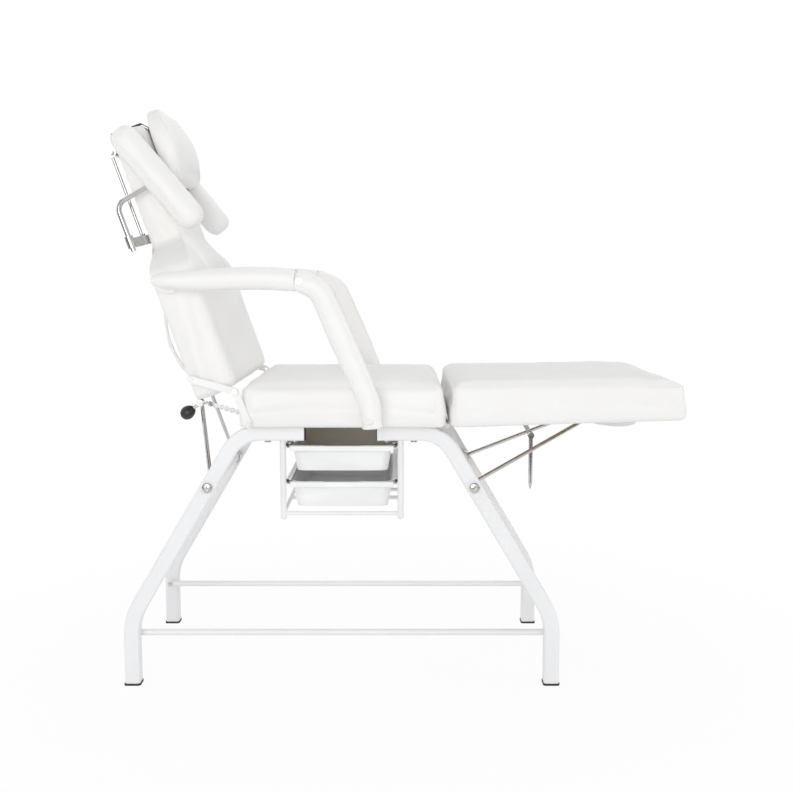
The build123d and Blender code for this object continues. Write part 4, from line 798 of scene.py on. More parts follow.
@dataclass(frozen=True)
class Stuffing:
    """How a soft piece is filled: a short cloth simulation with pressure from inside."""

    pressure: float = 4.0
    cap: float = 0.006
    frames: int = 18
    stiffness: float = 18.0
    bending: float = 2.0
    mass: float = 0.3
    quality: int = 4

    def apply(self, piece: bpy.types.Object, held: Callable[[np.ndarray], np.ndarray]) -> None:
        """Inflates the piece and keeps the result in its mesh.

        Args:
            piece: the closed piece.
            held: gives each vertex a weight from 0, free, to 1, held.
        """
        start = coordinates(piece)
        weights = held(start)
        group = piece.vertex_groups.new(name="held")
        for index, weight in enumerate(weights):
            group.add([index], float(weight), "REPLACE")
        cloth = piece.modifiers.new("fill", "CLOTH")
        cloth.settings.quality = self.quality
        cloth.settings.mass = self.mass
        cloth.settings.tension_stiffness = self.stiffness
        cloth.settings.compression_stiffness = self.stiffness
        cloth.settings.bending_stiffness = self.bending
        cloth.settings.use_pressure = True
        cloth.settings.uniform_pressure_force = self.pressure
        cloth.settings.effector_weights.gravity = 0.0
        cloth.settings.vertex_group_mass = "held"
        scene = bpy.context.scene
        for step in range(1, self.frames + 1):
            scene.frame_set(step)
        graph = bpy.context.evaluated_depsgraph_get()
        result = piece.evaluated_get(graph)
        moved = np.zeros(len(start) * 3)
        result.data.vertices.foreach_get("co", moved)
        shift = moved.reshape(-1, 3) - start
        length = np.linalg.norm(shift, axis=1, keepdims=True)
        shift *= np.minimum(1.0, self.cap / np.maximum(length, 1e-9))
        piece.modifiers.remove(cloth)
        piece.vertex_groups.remove(group)
        scene.frame_set(1)
        set_coordinates(piece, start + shift)
        LOG.info("filled %s", piece.name)


@dataclass(frozen=True)
class Ripple:
    """A slow unevenness, as leather lies over foam.

    depth is the largest move in metres, scale is in waves per metre, and the seed makes each piece differ.
    """

    depth: float
    scale: float
    seed: float

    def apply(self, piece: bpy.types.Object, mask: Callable[[np.ndarray], np.ndarray] | None = None) -> None:
        """Moves vertices along their normals.

        Args:
            piece: the piece to change.
            mask: gives a share from 0 to 1 for each vertex, or None for all of it.
        """
        places = coordinates(piece)
        normals = np.zeros(len(places) * 3)
        piece.data.vertices.foreach_get("normal", normals)
        normals = normals.reshape(-1, 3)
        shares = np.ones(len(places)) if mask is None else mask(places)
        offset = Vector((self.seed, self.seed * 0.7, self.seed * 1.3))
        for i, place in enumerate(places):
            if shares[i] <= 0.0:
                continue
            wave = noise.fractal(Vector(place) * self.scale + offset, 1.0, 2.0, 3)
            places[i] += normals[i] * wave * self.depth * shares[i]
        set_coordinates(piece, places)


# Seams and stitches


@dataclass
class StitchRow:
    """Rows of stitches along a path, made by one geometry node tree; sizes in metres."""

    pitch: float = 0.0046
    length: float = 0.0034
    radius: float = 0.00042

    def __post_init__(self) -> None:
        """Builds the tree once."""
        self.tree = self._tree()

    def _tree(self) -> bpy.types.NodeTree:
        """One stretched ball at each even step of a curve, turned along it.

        Returns:
            The tree, with named inputs for its sizes.
        """
        tree = bpy.data.node_groups.new("stitch row", "GeometryNodeTree")
        face = tree.interface
        face.new_socket("Geometry", in_out="INPUT", socket_type="NodeSocketGeometry")
        for label, value in (("Pitch", self.pitch), ("Length", self.length), ("Radius", self.radius)):
            face.new_socket(label, in_out="INPUT", socket_type="NodeSocketFloat").default_value = value
        face.new_socket("Material", in_out="INPUT", socket_type="NodeSocketMaterial")
        face.new_socket("Geometry", in_out="OUTPUT", socket_type="NodeSocketGeometry")
        graph = Graph(tree)
        path = graph.node("NodeGroupInput", out="Geometry")
        pitch, length, radius, thread = (
            graph.beside(path, label) for label in ("Pitch", "Length", "Radius", "Material")
        )
        given = {"Curve": path, "Length": pitch}
        spaced = graph.node("GeometryNodeResampleCurve", {"mode": "LENGTH"}, given)
        ball = graph.node("GeometryNodeMeshUVSphere", None, {"Segments": 6, "Rings": 4, "Radius": 1.0})
        shape = graph.node("ShaderNodeCombineXYZ", None, {0: radius, 1: radius, 2: length * 0.5})
        tangent = graph.node("GeometryNodeInputTangent")
        turn = graph.node("FunctionNodeAlignRotationToVector", {"axis": "Z"}, {"Vector": tangent})
        row = graph.node(
            "GeometryNodeInstanceOnPoints",
            None,
            {"Points": spaced, "Instance": ball, "Rotation": turn, "Scale": shape},
        )
        real = graph.node("GeometryNodeRealizeInstances", None, {0: row})
        dressed = graph.node("GeometryNodeSetMaterial", None, {"Geometry": real, "Material": thread})
        graph.node("NodeGroupOutput", None, {"Geometry": dressed})
        return tree

    def sew(
        self, name: str, paths: Sequence[Sequence[Vector]], thread: bpy.types.Material
    ) -> bpy.types.Object:
        """Stitches along paths as one plain mesh.

        Args:
            name: the new piece's name.
            paths: points of each row.
            thread: the thread's material.

        Returns:
            The new object.
        """
        line = path_curve(name + "_line", paths)
        sewing = line.modifiers.new("stitches", "NODES")
        sewing.node_group = self.tree
        items = self.tree.interface.items_tree
        known = {item.name: item.identifier for item in items if item.in_out == "INPUT"}
        sewing[known["Pitch"]] = self.pitch
        sewing[known["Length"]] = self.length
        sewing[known["Radius"]] = self.radius
        sewing[known["Material"]] = thread
        return baked(line, name, thread)


def path_curve(name: str, paths: Sequence[Sequence[Vector]]) -> bpy.types.Object:
    """A curve object with one poly spline for each path.

    Args:
        name: the curve's name.
        paths: points of each spline.

    Returns:
        The new object.
    """
    curve = bpy.data.curves.new(name, "CURVE")
    curve.dimensions = "3D"
    for path in paths:
        spline = curve.splines.new("POLY")
        spline.points.add(len(path) - 1)
        for point, place in zip(spline.points, path):
            point.co = (*place, 1.0)
    return placed(name, curve)


def welt(
    name: str, paths: Sequence[Sequence[Vector]], radius: float, material: bpy.types.Material
) -> bpy.types.Object:
    """A round cord of leather along paths, as one plain mesh.

    Args:
        name: the new piece's name.
        paths: points of each cord.
        radius: the cord's radius in metres.
        material: its finish.

    Returns:
        The new object.
    """
    line = path_curve(name + "_line", paths)
    line.data.bevel_depth = radius
    line.data.bevel_resolution = 3
    line.data.use_fill_caps = True
    return baked(line, name, material)


class Skin:
    """Finds places on a finished soft surface."""

    def __init__(self, piece: bpy.types.Object) -> None:
        """Sorts the piece's faces for searching."""
        points = [v.co.copy() for v in piece.data.vertices]
        self.tree = BVHTree.FromPolygons(points, [tuple(p.vertices) for p in piece.data.polygons])

    def follow(self, guesses: Iterable[Vector], lift: float = 0.0003) -> list[Vector]:
        """Points on the surface nearest to the guesses, raised by a small lift.

        Args:
            guesses: points close to the surface.
            lift: metres above the surface.

        Returns:
            The raised points.
        """
        found = []
        for guess in guesses:
            place, normal, _index, _distance = self.tree.find_nearest(guess)
            found.append(place + normal * lift)
        return found


def line_of(start: Vector, end: Vector, count: int) -> list[Vector]:
    """Even points between two places."""
    return [start.lerp(end, i / (count - 1)) for i in range(count)]


# Places shared with the frame

LEAN = math.radians(19.5)
BACK_UP = Vector((-math.sin(LEAN), 0.0, math.cos(LEAN)))
BACK_OUT = Vector((math.cos(LEAN), 0.0, math.sin(LEAN)))
BACK_PIVOT = Vector((-0.371, 0.0, 0.740))
TILT = math.radians(1.8)
LEG_ALONG = Vector((math.cos(TILT), 0.0, math.sin(TILT)))
LEG_UP = Vector((-math.sin(TILT), 0.0, math.cos(TILT)))
LEG_PIVOT = Vector((0.135, 0.0, 0.6435))
X_AXIS = Vector((1.0, 0.0, 0.0))
Y_AXIS = Vector((0.0, 1.0, 0.0))
Z_AXIS = Vector((0.0, 0.0, 1.0))
ARM_X, ARM_Y, ARM_Z = -0.212, 0.346, 1.0
SIDES = (("right", -1.0), ("left", 1.0))


def back_point(along: float, out: float, y: float = 0.0) -> Vector:
    """A point up the backrest and out from its hinge plane."""
    return BACK_PIVOT + BACK_UP * along + BACK_OUT * out + Y_AXIS * y


@dataclass
class SoftPiece:
    """What every soft piece has in common."""

    palette: Palette
    stitches: StitchRow

    def settle(self, piece: bpy.types.Object, body: str, node: str, fill: float) -> None:
        """Gives a finished soft piece its leather and its body, and hides the CAD node it stands for.

        Args:
            piece: the finished mesh.
            body: the CAD body it rides on.
            node: the CAD node it stands for.
            fill: how full of stuffing it is; not used.
        """
        piece.data.materials.clear()
        piece.data.materials.append(self.palette.made[Slot.LEATHER])
        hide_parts(node)
        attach(piece, body)
        LOG.info("made %s", piece.name)

    def trim(self, name: str, body: str, paths: Sequence[Sequence[Vector]], radius: float) -> None:
        """Adds a leather welt along paths.

        Args:
            name: the welt's name.
            body: the CAD body it rides on.
            paths: points of each cord.
            radius: the cord's radius in metres.
        """
        made = welt(name, paths, radius, self.palette.made[Slot.LEATHER])
        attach(made, body)

    def sew(self, name: str, body: str, paths: Sequence[Sequence[Vector]]) -> None:
        """Adds rows of stitches.

        Args:
            name: the stitches' name.
            body: the CAD body they ride on.
            paths: points of each row.
        """
        made = self.stitches.sew(name, paths, self.palette.thread)
        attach(made, body)


@dataclass(frozen=True)
class BoxCushionSize:
    """Sizes of a boxed cushion, in metres; the toe is the share of its length past toe_start."""

    length: float
    half: float
    edge: float
    crown: float
    corner: float = 0.020
    roll: float = 0.020
    draw: float = 0.005
    toe_start: float = 0.72
    toe_rise: float = 0.0
    toe_drop: float = 0.0
    taper: float = 0.0
    sink: float = 0.0012
    end_lift: float = 0.005
    recess: float = 0.0032
    recess_inset: float = 0.036
    seam_foot: float = 0.012
    seam_top: float = 0.02
    seam_radius: float = 0.0011
    stitch_gap: float = 0.006


@dataclass
class BoxCushion(SoftPiece):
    """The seat or the leg rest: crowned, drawn in at its sides, rolled over at its ends."""

    name: str
    axes: Axes
    size: BoxCushionSize
    near: tuple[float, ...] = (0.0, 0.0012, 0.003, 0.0055, 0.009, 0.0135, 0.019, 0.026)
    inset: float = 0.034
    slices: int = 64
    around: int = 150

    def _toe(self, along: float) -> float:
        """How far into the toe a distance along lies, squared."""
        start = self.size.toe_start
        return max(0.0, (along / self.size.length - start) / (1.0 - start)) ** 2

    def edge_height(self, along: float) -> float:
        """Height of the top edge above the cushion's base at one distance along."""
        share = min(1.0, max(0.0, along / self.size.length))
        return self.size.edge - self.size.taper * share - self.size.toe_drop * self._toe(along)

    def section(self, along: float) -> Section:
        """The slice at one distance along the cushion.

        Args:
            along: the distance from its first end.

        Returns:
            The slice.
        """
        size = self.size
        end = min(along, size.length - along)
        belly = math.sin(math.pi * along / size.length)
        toe = self._toe(along)
        rolled = turned(end, size.roll)
        return Section(
            half=size.half - size.corner * turned(end, size.corner) - size.draw * belly,
            edge=self.edge_height(along) - size.roll * 0.8 * rolled,
            crown=size.crown * (0.25 + 0.75 * max(0.0, belly) ** 0.6) * (1.0 - 0.55 * toe),
            low=size.toe_rise * toe * rolled - size.sink + size.end_lift * rolled,
            recess=size.recess if end > size.recess_inset else 0.0,
            shoulder=0.010 + 0.002 * belly,
        )

    def build(self, body: str, node: str) -> bpy.types.Object:
        """Makes the cushion.

        Args:
            body: the CAD body it rides on.
            node: the CAD node it stands for.

        Returns:
            The finished cushion.
        """
        size = self.size
        rings = []
        for along in stations(0.0, size.length, self.near, self.inset, self.slices):
            outline = self.section(along).outline(self.around)
            rings.append([self.axes.at(along, x, z) for x, z in outline])
        piece = RingMesh(rings, cap_out=0.003).build(self.name)
        hold = Hold(self.axes, 0.004, size.edge * 0.25)
        Stuffing().apply(piece, hold.weights)
        Ripple(0.0011, 13.0, size.length * 40.0).apply(piece, hold.freedom)
        self.settle(piece, body, node, 0.85)
        self._seams(piece, body)
        return piece

    def _seams(self, piece: bpy.types.Object, body: str) -> None:
        """Corner seams down the four upright edges, with a row of stitches beside each.

        Args:
            piece: the finished cushion.
            body: the CAD body they ride on.
        """
        skin = Skin(piece)
        size = self.size
        cords, rows = [], []
        inset = size.corner * 0.3
        for along in (inset, size.length - inset):
            low = size.toe_rise + size.seam_foot if along > inset else size.seam_foot
            beside = self.axes.along * (size.stitch_gap if along < size.length / 2 else -size.stitch_gap)
            for side in (-1.0, 1.0):
                across = side * (size.half - inset) * 1.01
                bottom = self.axes.at(along, across, low)
                top = self.axes.at(along, across, self.edge_height(along) - size.seam_top)
                seam = line_of(bottom, top, 24)
                cords.append(skin.follow(seam, 0.0002))
                rows.append(skin.follow([p + beside for p in seam]))
        self.trim(f"{self.name}_corner_seams", body, cords, size.seam_radius)
        self.sew(f"{self.name}_corner_stitches", body, rows)


@dataclass
class ToeWelt(SoftPiece):
    """The sewn edge round the top of the leg rest's foot end, in metres."""

    reach: float = 0.085
    below_edge: float = 0.003
    out: float = 0.002
    turn_in: float = 0.008
    pull_back: float = 0.004
    radius: float = 0.0022
    stitch_drop: float = 0.008
    steps: int = 40

    def build(self, cushion: BoxCushion, piece: bpy.types.Object, body: str) -> None:
        """Adds the welt and its stitches.

        Args:
            cushion: the leg rest's builder.
            piece: the leg rest's finished mesh.
            body: the body that it rides on.
        """
        skin, size, axes = Skin(piece), cushion.size, cushion.axes
        guesses: list[Vector] = []
        for side in (1.0, -1.0):
            leg = []
            for i in range(self.steps):
                share = i / (self.steps - 1)
                along = size.length - self.reach * (1.0 - share)
                across = side * (size.half + self.out - self.turn_in * share**6)
                up = cushion.edge_height(along) - self.below_edge
                leg.append(axes.at(along - self.pull_back * share, across, up))
            guesses += leg if side > 0 else list(reversed(leg))
        end = line_of(guesses[self.steps - 1], guesses[self.steps], 50)
        guesses = guesses[: self.steps] + end + guesses[self.steps :]
        self.trim("leg_rest_toe_welt", body, [skin.follow(guesses, 0.0008)], self.radius)
        below = [g - axes.up * self.stitch_drop for g in guesses]
        self.sew("leg_rest_toe_stitches", body, [skin.follow(below)])


@dataclass(frozen=True)
class BackSize:
    """Sizes of the backrest's cushion, in metres."""

    start: float = 0.008
    shoulder_start: float = 0.318
    head_start: float = 0.404
    top: float = 0.690
    half: float = 0.3045
    head_half: float = 0.149
    rear: float = -0.096
    edge: float = 0.104
    head_edge: float = 0.085
    crown: float = 0.013
    head_crown: float = 0.005
    corner: float = 0.018
    draw: float = 0.004
    belly: float = 0.36
    end_drop: float = 0.016
    end_lift: float = 0.003
    recess: float = 0.0032
    recess_inset: float = 0.036
    seam_radius: float = 0.0013
    fold_up: float = 0.013
    fold_half: float = 0.31


@dataclass
class BackCushion(SoftPiece):
    """The backrest: a wide block, sloped shoulders and a narrow head part in one cover."""

    size: BackSize
    near: tuple[float, ...] = (0.0, 0.001, 0.0028, 0.0055, 0.009, 0.014, 0.02, 0.028)
    inset: float = 0.036
    slices: int = 84
    around: int = 140

    def __post_init__(self) -> None:
        """Lays the axes at the middle of the cover's rear, level with the hinge."""
        self.axes = Axes(back_point(0.0, self.size.rear), BACK_UP, Y_AXIS, BACK_OUT)

    def section(self, along: float) -> Section:
        """The slice at one distance up the backrest.

        Args:
            along: the distance from the hinge.

        Returns:
            The slice.
        """
        size = self.size
        share = eased((along - size.shoulder_start) / (size.head_start - size.shoulder_start))
        end = min(along - size.start, size.top - along)
        plan = turned(end, size.corner)
        belly = max(0.0, math.sin(math.pi * min(1.0, (along - size.start) / size.belly)))
        half = size.half + (size.head_half - size.half) * share
        edge = size.edge + (size.head_edge - size.edge) * share
        crown = size.crown * (0.3 + 0.7 * belly**0.6) * (1.0 - share) + size.head_crown * share
        return Section(
            half=half - size.corner * plan - size.draw * belly * (1.0 - share),
            edge=edge - size.end_drop * plan,
            crown=crown * (1.0 - 0.7 * plan),
            shoulder=0.013,
            low=size.end_lift * plan,
            recess=size.recess if end > size.recess_inset else 0.0,
        )

    def build(self, body: str, node: str) -> bpy.types.Object:
        """Makes the cushion.

        Args:
            body: the CAD body it rides on.
            node: the CAD node it stands for.

        Returns:
            The finished cushion.
        """
        rings = []
        for along in stations(self.size.start, self.size.top, self.near, self.inset, self.slices):
            outline = self.section(along).outline(self.around)
            rings.append([self.axes.at(along, x, z) for x, z in outline])
        piece = RingMesh(rings, cap_out=0.003).build("backrest_pad")
        hold = Hold(self.axes, 0.004, 0.03)
        Stuffing(cap=0.004).apply(piece, hold.weights)
        Ripple(0.001, 12.0, 3.7).apply(piece, hold.freedom)
        self.settle(piece, body, node, 0.85)
        self._seams(piece, body)
        return piece

    def _seams(self, piece: bpy.types.Object, body: str) -> None:
        """Seams along both front edges, and the turned band at the bottom of the sides.

        Args:
            piece: the finished cushion.
            body: the CAD body they ride on.
        """
        skin, size = Skin(piece), self.size
        cords, rows = [], []
        steps = 150
        for side in (-1.0, 1.0):
            edge_line, stitch_line = [], []
            for i in range(steps):
                along = size.start + 0.012 + (size.top - size.start - 0.03) * i / (steps - 1)
                cut = self.section(along)
                edge_line.append(self.axes.at(along, side * (cut.half + 0.004), cut.edge - 0.004))
                stitch_line.append(self.axes.at(along, side * (cut.half + 0.01), cut.edge - 0.017))
            cords.append(skin.follow(edge_line))
            rows.append(skin.follow(stitch_line))
            across = side * size.fold_half
            fold = (self.axes.at(size.fold_up, across, up) for up in (0.006, 0.085))
            cords.append(skin.follow(line_of(*fold, 30)))
        self.trim("backrest_edge_seams", body, cords, size.seam_radius)
        self.sew("backrest_edge_stitches", body, rows)


@dataclass
class HeadPillow(SoftPiece):
    """The pillow over the head part, in metres; its bottom end is blunter than its top end."""

    start: float = 0.531
    out: float = -0.0035
    length: float = 0.186
    half: float = 0.149
    foot_depth: float = 0.037
    middle_gain: float = 0.015
    head_loss: float = 0.005
    corners: tuple[float, float] = (0.03, 0.08)
    pinches: tuple[float, float] = (0.02, 0.06)
    end_drop: float = 0.018
    end_lift: float = 0.008
    crown: float = 0.028
    near: tuple[float, ...] = (0.0, 0.0015, 0.004, 0.008, 0.013, 0.019, 0.026)
    inset: float = 0.034
    slices: int = 26
    around: int = 110

    def side_depth(self, along: float) -> float:
        """Depth of the pillow's side at a distance from its bottom end."""
        share = along / self.length
        gain = self.middle_gain * eased(share / 0.5)
        return self.foot_depth + gain - self.head_loss * eased((share - 0.5) / 0.4)

    def section(self, along: float) -> Section:
        """The slice at one distance from its bottom end.

        Args:
            along: the distance.

        Returns:
            The slice.
        """
        share = along / self.length
        upper = int(share > 0.5)
        plan = turned(min(along, self.length - along), self.corners[upper])
        thick = self.side_depth(along)
        return Section(
            half=self.half - self.pinches[upper] * plan,
            edge=thick - self.end_drop * plan,
            crown=self.crown * math.sin(math.pi * share) ** 0.5 * max(0.15, 1.0 - 1.2 * share),
            low=self.end_lift * plan,
            shoulder=max(0.006, min(0.014, (thick - 0.026 * plan) * 0.4)),
            tuck=0.006,
            bulge=0.002,
        )

    def build(self, body: str, node: str) -> bpy.types.Object:
        """Makes the pillow.

        Args:
            body: the CAD body it rides on.
            node: the CAD node it stands for.

        Returns:
            The finished pillow.
        """
        axes = Axes(back_point(self.start, self.out), BACK_UP, Y_AXIS, BACK_OUT)
        rings = []
        for along in stations(0.0, self.length, self.near, self.inset, self.slices):
            outline = self.section(along).outline(self.around)
            rings.append([axes.at(along, x, z) for x, z in outline])
        piece = RingMesh(rings, cap_out=0.003).build("head_pillow_pad")
        hold = Hold(axes, 0.003, 0.01)
        Stuffing(cap=0.005).apply(piece, hold.weights)
        Ripple(0.0012, 20.0, 9.1).apply(piece, hold.freedom)
        self.settle(piece, body, node, 0.8)
        self._seams(piece, axes, body)
        return piece

    def _seams(self, piece: bpy.types.Object, axes: Axes, body: str) -> None:
        """A seam along each side's front edge, with a row of stitches behind it.

        Args:
            piece: the finished pillow.
            axes: its local frame.
            body: the CAD body they ride on.
        """
        skin = Skin(piece)
        cords, rows = [], []
        steps, inset = 70, 0.008
        for side in (-1.0, 1.0):
            guess, beside = [], []
            for i in range(steps):
                along = inset + (self.length - 2 * inset) * i / (steps - 1)
                thick = self.side_depth(along)
                guess.append(axes.at(along, side * (self.half + 0.003), thick - 0.002))
                beside.append(axes.at(along, side * (self.half + 0.008), thick - 0.014))
            cords.append(skin.follow(guess, 0.0004))
            rows.append(skin.follow(beside))
        self.trim("head_pillow_seams", body, cords, 0.0014)
        self.sew("head_pillow_stitches", body, rows)


@dataclass
class Bolster(SoftPiece):
    """A padded wing beside the head part, in metres; its turn is in degrees from upright."""

    length: float = 0.288
    turn: float = 40.0
    middle_up: float = 0.543
    middle_out: float = -0.014
    aside: float = 0.199
    half: float = 0.0415
    half_loss: float = 0.022
    depth: float = 0.034
    depth_loss: float = 0.019
    corner: float = 0.034
    seam_half: float = 0.041
    seam_out: float = -0.021
    stitch_out: float = -0.012
    seam_radius: float = 0.0012
    near: tuple[float, ...] = (0.0, 0.001, 0.003, 0.006, 0.010, 0.015, 0.021, 0.028)
    inset: float = 0.036
    slices: int = 34
    around: int = 90

    def _outline(self, plan: float) -> Profile:
        """A rounded slice, squarer behind than in front.

        Args:
            plan: how far the end has turned in.

        Returns:
            The closed outline.
        """
        half = self.half - self.half_loss * plan
        thick = self.depth - self.depth_loss * plan
        outline = []
        for k in range(self.around):
            angle = 2 * math.pi * k / self.around - math.pi / 2
            c, s = math.cos(angle), math.sin(angle)
            outline.append((half * filled(c, 0.8), thick * filled(s, 0.62 if s < 0 else 0.86)))
        return evenly(outline, self.around)

    def build(self, name: str, side: float, body: str, node: str) -> bpy.types.Object:
        """Makes one bolster.

        Args:
            name: the bolster's name.
            side: 1 for the left one, -1 for the right one.
            body: the CAD body it rides on.
            node: the CAD node it stands for.

        Returns:
            The finished bolster.
        """
        turn = math.radians(self.turn)
        up = Vector((-math.sin(turn), 0.0, math.cos(turn)))
        front = Vector((math.cos(turn), 0.0, math.sin(turn)))
        middle = back_point(self.middle_up, self.middle_out, side * self.aside)
        axes = Axes(middle - up * (self.length / 2), up, Y_AXIS, front)
        rings = []
        for along in stations(0.0, self.length, self.near, self.inset, self.slices):
            plan = turned(min(along, self.length - along), self.corner)
            rings.append([axes.at(along, x, z) for x, z in self._outline(plan)])
        piece = RingMesh(rings, cap_out=0.002).build(f"{name}_pad")
        Stuffing(cap=0.003).apply(piece, lambda p: np.zeros(len(p)))
        Ripple(0.0009, 22.0, 5.0 + side).apply(piece)
        self.settle(piece, body, node, 0.85)
        self._seams(piece, axes, name, body)
        return piece

    def _seams(self, piece: bpy.types.Object, axes: Axes, name: str, body: str) -> None:
        """A seam all round behind the middle, with a row of stitches in front of it.

        Args:
            piece: the finished bolster.
            axes: its local frame.
            name: the bolster's name.
            body: the CAD body they ride on.
        """
        skin = Skin(piece)
        loop, beside = [], []
        steps = 160
        for k in range(steps):
            angle = 2 * math.pi * k / steps
            reach = (self.length / 2 - 0.002) * filled(math.cos(angle), 0.35)
            across = self.seam_half * filled(math.sin(angle), 0.55)
            loop.append(axes.at(self.length / 2 + reach, across, self.seam_out))
            beside.append(axes.at(self.length / 2 + reach, across, self.stitch_out))
        loop.append(loop[0])
        self.trim(f"{name}_seam", body, [skin.follow(loop)], self.seam_radius)
        self.sew(f"{name}_stitches", body, [skin.follow(beside)])


@dataclass
class ArmPad(SoftPiece):
    """The level part of an arm, with an open cup at its front.

    Each row of the shape is a distance behind the front pivot, a rise, a half height and a half
    width, in metres. Its first rows are the rounded tail.
    """

    shape: tuple[tuple[float, float, float, float], ...] = (
        (0.3425, 0.0005, 0.006, 0.008),
        (0.340, 0.0006, 0.0095, 0.0125),
        (0.334, 0.0008, 0.0130, 0.0175),
        (0.322, 0.0010, 0.0160, 0.0215),
        (0.306, 0.0012, 0.0182, 0.0240),
        (0.282, 0.0015, 0.0203, 0.0252),
        (0.249, 0.0020, 0.0230, 0.0258),
        (0.205, 0.0038, 0.0248, 0.0262),
        (0.162, 0.0055, 0.0258, 0.0265),
        (0.110, 0.0068, 0.0260, 0.0265),
        (0.070, 0.0062, 0.0258, 0.0264),
        (0.040, 0.0040, 0.0258, 0.0262),
        (0.0135, 0.0012, 0.0254, 0.0256),
    )
    tail_rows: int = 5
    body_start: float = 0.290
    body_end: float = 0.0135
    ball: float = 0.0265
    cup_cuts: tuple[float, ...] = (0.945, 0.895, 0.84, 0.74, 0.6, 0.42, 0.22)
    pucker: float = 0.05
    pucker_reach: float = 0.06
    slices: int = 44
    around: int = 72
    seam_radius: float = 0.0011
    stitch_gap: float = 0.006

    def _ring(self, behind: float, row: Triple, y: float) -> Ring:
        """One slice, puckered toward the cup.

        Args:
            behind: distance behind the front pivot.
            row: the slice's rise, half height and half width.
            y: the arm's distance from the middle plane.

        Returns:
            The slice's points.
        """
        rise, high, wide = row
        near_cup = max(0.0, 1.0 - behind / self.pucker_reach)
        ring = []
        for k in range(self.around):
            angle = 2 * math.pi * k / self.around - math.pi / 2
            pucker = 1.0 + self.pucker * math.sin(angle * 9 + behind * 40) * near_cup
            x = wide * filled(math.cos(angle), 0.9)
            z = high * filled(math.sin(angle), 0.9) * pucker + rise
            ring.append(Vector((ARM_X - behind, y + x, ARM_Z + z)))
        return ring

    def build(self, name: str, side: float, body: str, node: str) -> bpy.types.Object:
        """Makes one arm pad.

        Args:
            name: the pad's name.
            side: 1 for the left one, -1 for the right one.
            body: the CAD body it rides on.
            node: the CAD node it stands for.

        Returns:
            The finished pad.
        """
        table = np.array(self.shape)
        table = table[np.argsort(table[:, 0])]
        y = side * ARM_Y
        tail = [row[0] for row in self.shape[: self.tail_rows]]
        rings: list[Ring] = []
        for behind in tail + list(np.linspace(self.body_start, self.body_end, self.slices)):
            row = tuple(float(np.interp(behind, table[:, 0], table[:, k])) for k in (1, 2, 3))
            rings.append(self._ring(behind, row, y))
        mouth = rings[-1]
        for share in self.cup_cuts:
            ring = []
            for point in mouth:
                radial = Vector((0.0, point.y - y, point.z - ARM_Z)) * share
                depth = math.sqrt(max(0.0, self.ball**2 - radial.length_squared))
                ring.append(Vector((ARM_X - depth, y + radial.y, ARM_Z + radial.z)))
            rings.append(ring)
        piece = RingMesh(rings, cap_rings=2).build(f"{name}_leather")
        Ripple(0.0006, 26.0, 2.0 + side).apply(piece)
        self.settle(piece, body, node, 0.9)
        self._seams(piece, side, name, body)
        return piece

    def _seams(self, piece: bpy.types.Object, side: float, name: str, body: str) -> None:
        """A seam along the underside, with a row of stitches on its inner side.

        Args:
            piece: the finished pad.
            side: 1 for the left one, -1 for the right one.
            name: the pad's name.
            body: the CAD body they ride on.
        """
        skin, y = Skin(piece), side * ARM_Y
        under, beside = [], []
        steps = 90
        for i in range(steps):
            x = ARM_X - 0.33 + 0.3 * i / (steps - 1)
            under.append(Vector((x, y, ARM_Z - 0.03)))
            beside.append(Vector((x, y - side * self.stitch_gap, ARM_Z - 0.03)))
        self.trim(f"{name}_seam", body, [skin.follow(under)], self.seam_radius)
        self.sew(f"{name}_stitches", body, [skin.follow(beside)])


